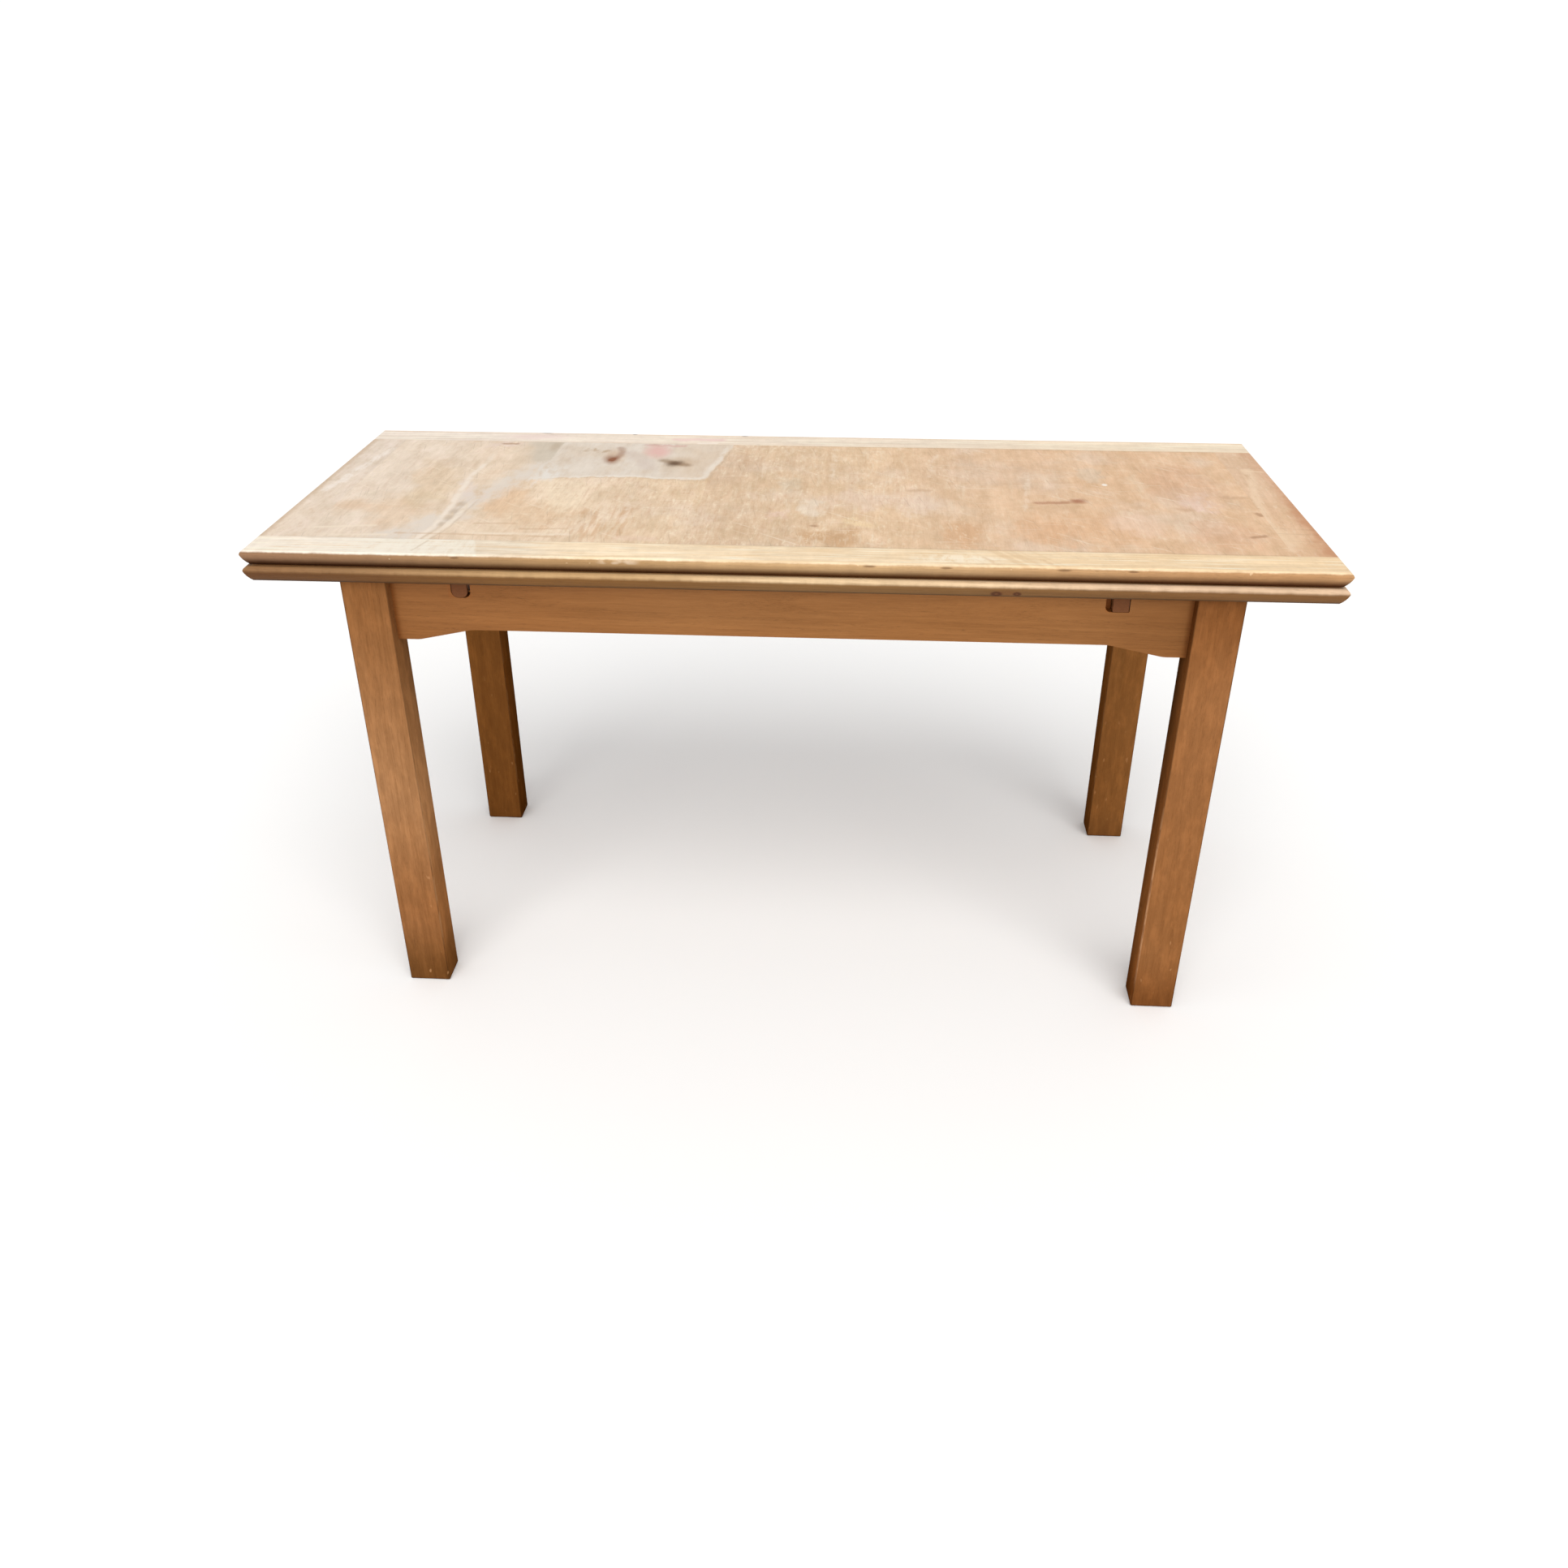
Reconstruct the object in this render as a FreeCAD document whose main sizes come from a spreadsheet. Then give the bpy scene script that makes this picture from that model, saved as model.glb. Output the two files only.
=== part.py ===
import FreeCAD, Part
import math
import os
import Sketcher

# Draw leaf table, closed, millimetres.
# X runs along the table, Y from front to back, Z up; the origin is on the floor under the middle of the top.
# A loose top lies on a centre board that is screwed across the frame. Two full-length leaves lie in the layer
# below it, one on each side of the centre board, and draw out from the long sides on runners.

V = FreeCAD.Vector
doc = FreeCAD.newDocument("draw_leaf_table")

# ---------------------------------------------------------------- driving dimensions
DIMS = [
    ("top_length", 1508.0),      # outline of the top and of the closed leaves, X
    ("top_depth", 620.0),        # same, Y
    ("table_height", 760.0),     # floor to the face of the top
    ("layer_thick", 22.0),       # thickness of the top and of the leaves
    ("felt_thick", 2.0),         # baize strips between centre board and top
    ("slide_gap", 0.5),          # leaf underside above the aprons
    ("rail_width", 62.0),        # rails round the panels; the long ones run through
    ("inner_rail_width", 40.0),  # rail on a leaf's hidden edge
    ("tongue_deep", 8.0),        # tongue of a panel in the groove of its rails
    ("tongue_thick", 7.0),
    ("groove_stop", 18.0),       # groove of a through rail, short of its ends
    ("edge_round", 6.0),         # how far in the rounding on the upper arris of the moulded edge starts
    ("edge_round_rad", 6.8),     # its radius, so that it leaves a faint arris on the top
    ("edge_nose", 5.5),          # how far down the widest point of the edge lies
    ("edge_under", 9.0),         # how far the edge is undercut at its foot
    ("edge_under_rad", 38.0),
    ("leg_span_long", 1259.0),   # over the outer faces of the legs, X
    ("leg_span_short", 569.0),   # same, Y
    ("leg_wide", 66.0),          # leg section, X
    ("leg_thick", 51.0),         # leg section, Y
    ("leg_arris", 2.0),
    ("foot_chamfer", 2.0),
    ("apron_thick", 22.0),
    ("apron_back_long", 16.0),   # long apron behind the faces of the legs
    ("apron_back_short", 16.0),
    ("apron_end_deep", 98.5),    # depth beside the legs
    ("apron_mid_deep", 82.0),    # depth between the brackets
    ("bracket_flat", 32.0),
    ("bracket_run_long", 110.0),
    ("bracket_run_short", 92.0),
    ("bracket_ease", 40.0),
    ("tenon_thick", 12.0),
    ("tenon_long", 30.0),
    ("tenon_top", 14.0),
    ("tenon_foot", 86.0),
    ("runner_wide", 22.0),
    ("runner_high", 32.0),
    ("runner_front", 464.0),     # runner of the front leaf, from the middle
    ("runner_back", 430.0),      # runner of the back leaf
    ("runner_proud", 1.0),       # end of a runner in front of the apron
    ("runner_tail", 243.5),      # inner end of a runner
    ("runner_relief", 1.0),      # tail of a runner below the leaf's underside
    ("runner_ramp", 12.0),
    ("runner_round", 8.0),
    ("runner_ease", 1.2),
    ("notch_outer", 1.5),
    ("notch_inner_round", 4.5),  # side gap of the round notch, towards the middle
    ("notch_inner_square", 0.5),
    ("notch_under", 1.0),
    ("notch_round", 10.0),
    ("notch_ease", 2.0),
    ("recess_wide", 9.5),        # blind recess in the face of the apron, beside the square notch
    ("recess_deep", 14.0),
    ("recess_round", 8.0),
    ("draw_travel", 255.0),
    ("stop_gap", 0.3),
    ("stop_long", 22.0),
    ("stop_high", 12.0),
    ("board_width", 110.0),      # centre board, Y
    ("board_gap", 2.0),          # centre board to the hidden edge of a leaf
    ("strip_side", 14.0),
    ("strip_high", 24.0),
    ("strip_gap", 0.5),
    ("felt_wide", 20.0),
    ("felt_long", 1380.0),
    ("felt_from_middle", 42.0),
    ("peg_rad", 10.0),
    ("peg_hole_rad", 10.5),
    ("peg_from_middle", 220.0),
    ("peg_drop", 26.5),          # how far the top lifts before its keepers meet the centre board
    ("keeper_long", 62.0),
    ("keeper_wide", 38.0),
    ("keeper_high", 12.0),
    ("screw_rad", 2.4),
    ("screw_head_rad", 4.8),
    ("screw_slot", 1.1),
    ("board_screw_long", 50.0),
    ("board_screw_from_middle", 18.0),
    ("runner_screw_long", 46.0),
    ("strip_screw_long", 40.0),
    ("strip_screw_from_middle", 36.0),
    ("stop_screw_long", 30.0),
    ("keeper_screw_long", 40.0),
]
sheet = doc.addObject("Spreadsheet::Sheet", "dims")
for row, (alias, value) in enumerate(DIMS, start=1):
    sheet.set("A%d" % row, alias)
    sheet.set("B%d" % row, str(value))
    sheet.setAlias("B%d" % row, alias)
doc.recompute()


class Q:
    """A length: its value now, and the expression on the sheet's cells that it comes from."""

    def __init__(self, value, text):
        self.v = float(value)
        self.t = text

    @staticmethod
    def of(x):
        return x if isinstance(x, Q) else Q(x, repr(float(x)))

    def __add__(self, o):
        o = Q.of(o)
        return Q(self.v + o.v, "(%s + %s)" % (self.t, o.t))

    def __radd__(self, o):
        return Q.of(o) + self

    def __sub__(self, o):
        o = Q.of(o)
        return Q(self.v - o.v, "(%s - %s)" % (self.t, o.t))

    def __rsub__(self, o):
        return Q.of(o) - self

    def __mul__(self, k):
        return Q(self.v * k, "(%s * %r)" % (self.t, float(k)))

    __rmul__ = __mul__

    def __truediv__(self, k):
        return Q(self.v / k, "(%s / %r)" % (self.t, float(k)))

    def __neg__(self):
        return self * -1.0


def dim(alias):
    return Q(sheet.get(alias), "dims." + alias)


ZERO = Q(0.0, "0")
NODES = {}


def plane(body, role):
    for feature in body.Origin.OriginFeatures:
        if feature.Role == role:
            return feature
    raise RuntimeError("no plane " + role)


def bind(obj, prop, q):
    obj.setExpression(prop, Q.of(q).t)


def place(obj, x, y, z, yaw=0.0):
    """Placement of a sub-part, its position bound to the sheet, turned about Z by yaw degrees."""
    x, y, z = Q.of(x), Q.of(y), Q.of(z)
    obj.Placement = FreeCAD.Placement(V(x.v, y.v, z.v), FreeCAD.Rotation(V(0, 0, 1), yaw))
    bind(obj, "Placement.Base.x", x)
    bind(obj, "Placement.Base.y", y)
    bind(obj, "Placement.Base.z", z)


def new_body(label):
    body = doc.addObject("PartDesign::Body", label)
    body.Label = label
    return body


def sketch(body, role, name):
    sk = body.newObject("Sketcher::SketchObject", name)
    sk.AttachmentSupport = (plane(body, role), [""])
    sk.MapMode = "FlatFace"
    return sk


def profile(sk, points, arcs=None):
    """A closed outline through points, each bound to the sheet. arcs gives {edge number: (radius, side)};
    side +1 has the arc's centre on the left of the way round, -1 on the right."""
    arcs = arcs or {}
    n = len(points)
    ends = []
    for i in range(n):
        a = V(Q.of(points[i][0]).v, Q.of(points[i][1]).v, 0)
        b = V(Q.of(points[(i + 1) % n][0]).v, Q.of(points[(i + 1) % n][1]).v, 0)
        if i in arcs:
            rad, side = arcs[i]
            chord = b - a
            left = V(-chord.y, chord.x, 0)
            left.normalize()
            half = chord.Length / 2.0
            rise = math.sqrt(max(rad.v ** 2 - half ** 2, 0.0))
            centre = (a + b) * 0.5 + left * (side * rise)
            middle = centre - left * (side * rad.v)
            g = sk.addGeometry(Part.Arc(a, middle, b), False)
            start = sk.getPoint(g, 1)
            if (start - a).Length < (start - b).Length:
                ends.append((g, 1, 2))
            else:
                ends.append((g, 2, 1))
            c = sk.addConstraint(Sketcher.Constraint("Radius", g, rad.v))
            sk.renameConstraint(c, "rad%d" % i)
            sk.setExpression("Constraints.rad%d" % i, rad.t)
        else:
            g = sk.addGeometry(Part.LineSegment(a, b), False)
            ends.append((g, 1, 2))
    for i in range(n):
        g, s, e = ends[i]
        h, hs, he = ends[(i + 1) % n]
        sk.addConstraint(Sketcher.Constraint("Coincident", g, e, h, hs))
    for i in range(n):
        g, s, e = ends[i]
        for axis, coordinate in (("X", points[i][0]), ("Y", points[i][1])):
            q = Q.of(coordinate)
            if q.v == 0.0:
                sk.addConstraint(Sketcher.Constraint("PointOnObject", g, s, -2 if axis == "X" else -1))
            else:
                c = sk.addConstraint(Sketcher.Constraint("Distance" + axis, -1, 1, g, s, q.v))
                sk.renameConstraint(c, "p%d%s" % (i, axis.lower()))
                sk.setExpression("Constraints.p%d%s" % (i, axis.lower()), q.t)
    return sk


def circles(sk, centres, rad):
    """Equal circles, their centres and radius bound to the sheet."""
    for i, (x, y) in enumerate(centres):
        x, y = Q.of(x), Q.of(y)
        g = sk.addGeometry(Part.Circle(V(x.v, y.v, 0), V(0, 0, 1), rad.v), False)
        c = sk.addConstraint(Sketcher.Constraint("Radius", g, rad.v))
        sk.renameConstraint(c, "rad%d" % i)
        sk.setExpression("Constraints.rad%d" % i, rad.t)
        for axis, q in (("X", x), ("Y", y)):
            if q.v == 0.0:
                sk.addConstraint(Sketcher.Constraint("PointOnObject", g, 3, -2 if axis == "X" else -1))
            else:
                c = sk.addConstraint(Sketcher.Constraint("Distance" + axis, -1, 1, g, 3, q.v))
                sk.renameConstraint(c, "c%d%s" % (i, axis.lower()))
                sk.setExpression("Constraints.c%d%s" % (i, axis.lower()), q.t)
    return sk


def pad(body, sk, length, name, both=True):
    p = body.newObject("PartDesign::Pad", name)
    p.Profile = sk
    p.Type = "Length"
    if both:
        p.SideType = "Symmetric"
    bind(p, "Length", length)
    p.Length = Q.of(length).v
    return p


def pocket(body, sk, name, both=True, reversed_=False, length=None):
    """Cuts with the sketch, right through, or to a length; the volume has to go down."""
    doc.recompute()
    before = body.Shape.Volume
    p = body.newObject("PartDesign::Pocket", name)
    p.Profile = sk
    if length is None:
        p.Type = "ThroughAll"
    else:
        p.Type = "Length"
        p.Length = Q.of(length).v
        bind(p, "Length", length)
    if both:
        p.SideType = "Symmetric"
    p.Reversed = reversed_
    doc.recompute()
    if not body.Shape.Volume < before - 1e-3:
        raise RuntimeError(body.Label + "." + name + " cuts nothing")
    return p


def block(body, kind, name, x0, x1, y0, y1, z0, z1):
    """An additive or subtractive box between two corners, in the body's own frame."""
    x0, x1, y0, y1, z0, z1 = (Q.of(q) for q in (x0, x1, y0, y1, z0, z1))
    b = body.newObject("PartDesign::%sBox" % kind, name)
    b.Placement = FreeCAD.Placement(V(x0.v, y0.v, z0.v), FreeCAD.Rotation())
    for prop, q in (("Length", x1 - x0), ("Width", y1 - y0), ("Height", z1 - z0), ("Placement.Base.x", x0), ("Placement.Base.y", y0), ("Placement.Base.z", z0)):
        bind(b, prop, q)
    return b


def edges_where(shape, test):
    return ["Edge%d" % i for i, e in enumerate(shape.Edges, start=1) if test(e)]


def dress(body, kind, name, amount, test):
    """A fillet or chamfer on the edges of the body as it stands that pass the test."""
    doc.recompute()
    base = body.Tip
    names = edges_where(base.Shape, test)
    if not names:
        raise RuntimeError(body.Label + "." + name + " finds no edge")
    f = body.newObject("PartDesign::" + kind, name)
    f.Base = (base, names)
    prop = "Radius" if kind == "Fillet" else "Size"
    setattr(f, prop, Q.of(amount).v)
    bind(f, prop, amount)
    doc.recompute()
    return f


def along(e, axis):
    """A straight edge that runs along an axis, 0 X, 1 Y, 2 Z."""
    if not isinstance(e.Curve, Part.Line):
        return False
    d = e.Vertexes[-1].Point - e.Vertexes[0].Point
    return d.Length > 1e-6 and abs(abs(d[axis]) - d.Length) < 1e-6


def mid(e):
    return (e.Vertexes[0].Point + e.Vertexes[-1].Point) * 0.5


def near(p, *want):
    """p matches the wanted coordinates; None matches anything."""
    return all(w is None or abs(p[i] - w) < 1e-3 for i, w in enumerate(want))


# ---------------------------------------------------------------- levels and lines
L, D, H = dim("top_length"), dim("top_depth"), dim("table_height")
T = dim("layer_thick")
RW = dim("rail_width")
IW = dim("inner_rail_width")
z_top_mid = H - T / 2
z_leaf_top = H - T - dim("felt_thick")
z_leaf_mid = z_leaf_top - T / 2
z_leaf_under = z_leaf_top - T
z_frame = z_leaf_under - dim("slide_gap")
leaf_in = dim("board_width") / 2 + dim("board_gap")       # hidden edge of a leaf, from the middle
leaf_wide = D / 2 - leaf_in
leg_x = dim("leg_span_long") / 2 - dim("leg_wide") / 2     # leg axes
leg_y = dim("leg_span_short") / 2 - dim("leg_thick") / 2
span_x = dim("leg_span_long") / 2 - dim("leg_wide")        # inner faces of the legs
span_y = dim("leg_span_short") / 2 - dim("leg_thick")
apron_y = dim("leg_span_short") / 2 - dim("apron_back_long") - dim("apron_thick") / 2
apron_x = dim("leg_span_long") / 2 - dim("apron_back_short") - dim("apron_thick") / 2
RWD = dim("runner_wide")
z_runner_foot = z_leaf_under - dim("runner_high")


# ---------------------------------------------------------------- fasteners
def screw(x, y, z, length, up=True, slot=True):
    """A countersunk wood screw with its head face at z and its shank along +Z (up) or -Z."""
    r, hr = dim("screw_rad").v, dim("screw_head_rad").v
    cone_high = hr - r
    shank = Part.makeCylinder(r, length - r - cone_high, V(0, 0, cone_high))
    tip = Part.makeCone(r, 0.2, r, V(0, 0, length - r))
    head = Part.makeCone(hr, r, cone_high)
    s = head.fuse(shank).fuse(tip).removeSplitter()
    if slot:
        w = dim("screw_slot").v
        s = s.cut(Part.makeBox(2 * hr + 2, w, 0.9, V(-hr - 1, -w / 2, 0)))
    if not up:
        s.rotate(V(0, 0, 0), V(1, 0, 0), 180)
    s.translate(V(x, y, z))
    return s


def turned(points, half_turn):
    return [(-x, -y, z) for x, y, z in points] if half_turn else points


def screws(label, heads, length, up=True):
    """The screws of one joint as a group of separate solids, and the same shapes unslotted for cutting their holes."""
    group = doc.addObject("Part::Feature", label)
    group.Label = label
    group.Shape = Part.makeCompound([screw(x, y, z, length, up) for x, y, z in heads])
    holes = doc.addObject("Part::Feature", label + "_holes")
    holes.Label = label + "_holes"
    holes.Shape = Part.makeCompound([screw(x, y, z, length, up, False) for x, y, z in heads])
    NODES[label] = group
    return holes


def drilled(body, label, holes):
    """body with the holes of one group of screws."""
    body.Label = label + "_blank"
    cut = doc.addObject("Part::Cut", label)
    cut.Label = label
    cut.Base = body
    cut.Tool = holes
    cut.Refine = False
    NODES[label] = cut
    return cut


# ---------------------------------------------------------------- legs
def make_leg(label, sx, sy):
    """A square-cut leg with two blind mortises in its inner faces. sx and sy say which corner it stands at."""
    b = new_body(label)
    hx, hy = dim("leg_wide") / 2, dim("leg_thick") / 2
    sk = sketch(b, "XY_Plane", label + "_section")
    profile(sk, [(-hx, -hy), (hx, -hy), (hx, hy), (-hx, hy)])
    pad(b, sk, z_frame, label + "_length", both=False)
    dress(b, "Fillet", label + "_arrises", dim("leg_arris"), lambda e: along(e, 2))
    dress(b, "Chamfer", label + "_foot", dim("foot_chamfer"), lambda e: abs(e.BoundBox.ZMax) < 1e-6)
    half = dim("tenon_thick") / 2
    z0, z1 = z_frame - dim("tenon_foot"), z_frame - dim("tenon_top")
    # mortise of the long apron, entered along X
    cy = (apron_y - leg_y) * sy
    x_in, x_out = hx - dim("tenon_long"), hx
    xs = (x_in, x_out) if sx < 0 else (-x_out, -x_in)
    block(b, "Subtractive", label + "_mortise_long", xs[0], xs[1], cy - half, cy + half, z0, z1)
    # mortise of the short apron, entered along Y
    cx = (apron_x - leg_x) * sx
    y_in, y_out = hy - dim("tenon_long"), hy
    ys = (y_in, y_out) if sy < 0 else (-y_out, -y_in)
    block(b, "Subtractive", label + "_mortise_short", cx - half, cx + half, ys[0], ys[1], z0, z1)
    place(b, leg_x * sx, leg_y * sy, ZERO)
    NODES[label] = b


for label, sx, sy in (("leg_front_left", -1, -1), ("leg_front_right", 1, -1), ("leg_back_left", -1, 1), ("leg_back_right", 1, 1)):
    make_leg(label, sx, sy)


# ---------------------------------------------------------------- aprons
def make_apron(label, half_span, run, x, y, yaw, runner=None):
    """An apron with a bracket at each end, a tenon at each end and, on the long sides, an open notch for each runner.
    The left notch as seen from outside has a round floor. The right one is square, and has a blind recess in the face
    on its inner side."""
    b = new_body(label)
    A, F = half_span, dim("bracket_flat")
    deep, shallow = dim("apron_end_deep"), dim("apron_mid_deep")
    pts = [(-A, ZERO), (-A, -deep), (-A + F, -deep), (-A + run, -shallow), (A - run, -shallow), (A - F, -deep), (A, -deep), (A, ZERO)]
    floor = dim("runner_high") - dim("slide_gap") + dim("notch_under")
    if runner is not None:
        ns = runner - RWD / 2 - dim("notch_inner_square")
        nr = runner - RWD / 2 - dim("notch_inner_round")
        n2 = runner + RWD / 2 + dim("notch_outer")
        pts += [(n2, ZERO), (n2, -floor), (ns, -floor), (ns, ZERO), (-nr, ZERO), (-nr, -floor), (-n2, -floor), (-n2, ZERO)]
    sk = sketch(b, "XZ_Plane", label + "_elevation")
    profile(sk, pts)
    pad(b, sk, dim("apron_thick"), label + "_thickness")
    eased = [(A - run).v, (A - F).v]
    dress(b, "Fillet", label + "_bracket_ease", dim("bracket_ease"), lambda e: along(e, 1) and mid(e).z < -50 and min(abs(abs(mid(e).x) - q) for q in eased) < 1e-3)
    if runner is not None:
        dress(b, "Fillet", label + "_round_notch", dim("notch_round"), lambda e: along(e, 1) and abs(mid(e).z + floor.v) < 1e-3 and mid(e).x < 0)
        dress(b, "Fillet", label + "_square_notch", dim("notch_ease"), lambda e: along(e, 1) and abs(mid(e).z + floor.v) < 1e-3 and mid(e).x > 0)
        doc.recompute()
        rs, face = ns - dim("recess_wide"), -dim("apron_thick") / 2
        block(b, "Subtractive", label + "_recess", rs, ns + 3.0, face - 1.0, face + dim("recess_deep"), -floor, Q.of(1.0))
        dress(b, "Fillet", label + "_recess_round", dim("recess_round"), lambda e: along(e, 1) and near(mid(e), rs.v, None, -floor.v))
    half = dim("tenon_thick") / 2
    block(b, "Additive", label + "_tenon_a", -A - dim("tenon_long"), -A, -half, half, -dim("tenon_foot"), -dim("tenon_top"))
    block(b, "Additive", label + "_tenon_b", A, A + dim("tenon_long"), -half, half, -dim("tenon_foot"), -dim("tenon_top"))
    place(b, x, y, z_frame, yaw)
    NODES[label] = b
    return b


make_apron("apron_front", span_x, dim("bracket_run_long"), ZERO, -apron_y, 0, dim("runner_front"))
make_apron("apron_back", span_x, dim("bracket_run_long"), ZERO, apron_y, 180, dim("runner_back"))
apron_left = make_apron("apron_left", span_y, dim("bracket_run_short"), -apron_x, ZERO, -90)
apron_right = make_apron("apron_right", span_y, dim("bracket_run_short"), apron_x, ZERO, 90)

# ---------------------------------------------------------------- centre board, baize and runner guides
board = new_body("centre_board")
BT = T + dim("slide_gap")
hl = L / 2
sk = sketch(board, "XZ_Plane", "centre_board_section")
er, err, en, eu = dim("edge_round"), dim("edge_round_rad"), dim("edge_nose"), dim("edge_under")
profile(
    sk,
    [(hl - er, ZERO), (-hl + er, ZERO), (-hl, -en), (-hl + eu, -T), (-hl + eu, -BT), (hl - eu, -BT), (hl - eu, -T), (hl, -en)],
    {1: (err, 1), 2: (dim("edge_under_rad"), 1), 6: (dim("edge_under_rad"), 1), 7: (err, 1)},
)
pad(board, sk, dim("board_width"), "centre_board_width")
sk = sketch(board, "XY_Plane", "peg_hole_centres")
circles(sk, [(-dim("peg_from_middle"), ZERO), (dim("peg_from_middle"), ZERO)], dim("peg_hole_rad"))
pocket(board, sk, "peg_holes")
place(board, ZERO, ZERO, z_leaf_top)

bs = dim("board_screw_from_middle").v
board_heads = [(sx * apron_x.v, sy * bs, z_leaf_top.v) for sx in (-1, 1) for sy in (-1, 1)]
board_holes = screws("centre_board_screws", board_heads, dim("board_screw_long").v, up=False)

z_strip = z_frame - dim("strip_high")
strips = {
    "middle": (dim("runner_back") + RWD / 2 + dim("strip_gap"), dim("runner_front") - RWD / 2 - dim("strip_gap")),
    "outer": (dim("runner_front") + RWD / 2 + dim("strip_gap"), dim("runner_front") + RWD / 2 + dim("strip_gap") + dim("strip_side")),
    "inner": (dim("runner_back") - RWD / 2 - dim("strip_gap") - dim("strip_side"), dim("runner_back") - RWD / 2 - dim("strip_gap")),
}
strip_heads = []
guide_blanks = {}
for side, sx in (("left", -1), ("right", 1)):
    members = []
    for key in ("inner", "middle", "outer"):
        a, c = strips[key]
        lo, hi = (a, c) if sx > 0 else (-c, -a)
        box = doc.addObject("Part::Box", "guide_%s_%s" % (side, key))
        box.Label = "guide_%s_%s_strip" % (side, key)
        bind(box, "Length", hi - lo)
        bind(box, "Width", dim("board_width"))
        bind(box, "Height", dim("strip_high"))
        place(box, lo, -dim("board_width") / 2, z_strip)
        members.append(box)
        for sy in (-1, 1):
            strip_heads.append(((lo.v + hi.v) / 2, sy * dim("strip_screw_from_middle").v, z_strip.v))
    group = doc.addObject("Part::Compound", "runner_guides_%s_blank" % side)
    group.Links = members
    guide_blanks[side] = group
strip_holes = screws("guide_screws", strip_heads, dim("strip_screw_long").v)
for side in ("left", "right"):
    drilled(guide_blanks[side], "runner_guides_" + side, strip_holes)

both_holes = doc.addObject("Part::Compound", "centre_board_all_holes")
both_holes.Links = [board_holes, strip_holes]
drilled(board, "centre_board", both_holes)
drilled(apron_left, "apron_left", board_holes)
drilled(apron_right, "apron_right", board_holes)

felts = []
for key, sy in (("front", -1), ("back", 1)):
    box = doc.addObject("Part::Box", "felt_" + key)
    box.Label = "felt_%s_strip" % key
    bind(box, "Length", dim("felt_long"))
    bind(box, "Width", dim("felt_wide"))
    bind(box, "Height", dim("felt_thick"))
    place(box, -dim("felt_long") / 2, dim("felt_from_middle") * sy - dim("felt_wide") / 2, z_leaf_top)
    felts.append(box)
felt = doc.addObject("Part::Compound", "baize_strips")
felt.Label = "baize_strips"
felt.Links = felts
NODES["baize_strips"] = felt


# ---------------------------------------------------------------- framed boards: the top and the leaves
def make_rail(label, length, width, x, y, z, yaw, through=True, moulded=True):
    """A rail of a framed board. Its section is drawn with the outer upper arris at the origin, Y inwards, and runs along X.
    A through rail runs the whole length of the board, has its ends moulded too, and its groove stops short of them.
    The others fit between two through rails, with a stub tenon at each end in their grooves."""
    b = new_body(label)
    td, tt = dim("tongue_deep"), dim("tongue_thick")
    g0, g1 = (T - tt) / 2, (T + tt) / 2
    sk = sketch(b, "YZ_Plane", label + "_section")
    if moulded:
        profile(sk, [(er, ZERO), (ZERO, -en), (eu, -T), (width, -T), (width, ZERO)], {0: (err, 1), 1: (dim("edge_under_rad"), 1)})
    else:
        profile(sk, [(ZERO, ZERO), (ZERO, -T), (width, -T), (width, ZERO)])
    # a through rail starts a little long, so that its moulded ends are cut from whole wood
    pad(b, sk, length + 4.0 if through else length, label + "_length")
    h = length / 2
    over = 5.0
    if through:
        for s, key in ((-1, "a"), (1, "b")):
            # what lies outside the moulded line at one end
            sk = sketch(b, "XZ_Plane", label + "_end_line_" + key)
            pts = [((h - er) * s, ZERO), (h * s, -en), ((h - eu) * s, -T), ((h - eu) * s, -T - over), ((h + over) * s, -T - over), ((h + over) * s, Q.of(over)), ((h - er) * s, Q.of(over))]
            side = -1 if s > 0 else 1
            profile(sk, pts, {0: (err, side), 1: (dim("edge_under_rad"), side)})
            pocket(b, sk, label + "_end_" + key)
        stop = dim("groove_stop")
        doc.recompute()
        block(b, "Subtractive", label + "_groove", -h + stop, h - stop, width - td, width + 1.0, -g1, -g0)
    else:
        doc.recompute()
        block(b, "Subtractive", label + "_groove", -h - 1.0, h + 1.0, width - td, width + 1.0, -g1, -g0)
        for s, key in ((-1, "a"), (1, "b")):
            lo, hi = (h, h + td) if s > 0 else (-h - td, -h)
            block(b, "Additive", label + "_stub_" + key, lo, hi, dim("groove_stop"), width - td, -g1, -g0)
    place(b, x, y, z, yaw)
    NODES[label] = b
    return b


def make_panel(label, length, depth, x, y, z):
    """A veneered panel with a tongue on all four sides, drawn about its middle plane."""
    b = new_body(label)
    td, tt = dim("tongue_deep"), dim("tongue_thick")
    hx, hy = length / 2, depth / 2
    sk = sketch(b, "XY_Plane", label + "_face")
    profile(sk, [(-hx, -hy), (hx, -hy), (hx, hy), (-hx, hy)])
    pad(b, sk, T, label + "_thickness")
    sk = sketch(b, "XY_Plane", label + "_tongue_line")
    profile(sk, [(-hx - td, -hy - td), (hx + td, -hy - td), (hx + td, hy + td), (-hx - td, hy + td)])
    pad(b, sk, tt, label + "_tongue")
    place(b, x, y, z)
    return b


# the top
make_rail("top_rail_front", L, RW, ZERO, -D / 2, H, 0)
make_rail("top_rail_back", L, RW, ZERO, D / 2, H, 180)
make_rail("top_rail_left", D - RW * 2, RW, -L / 2, ZERO, H, -90, through=False)
make_rail("top_rail_right", D - RW * 2, RW, L / 2, ZERO, H, 90, through=False)
top = make_panel("top_panel", L - RW * 2, D - RW * 2, ZERO, ZERO, z_top_mid)
sk = sketch(top, "XY_Plane", "peg_socket_centres")
circles(sk, [(-dim("peg_from_middle"), ZERO), (dim("peg_from_middle"), ZERO)], dim("peg_rad"))
pocket(top, sk, "peg_sockets", both=False)
NODES["top_panel"] = top

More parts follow.
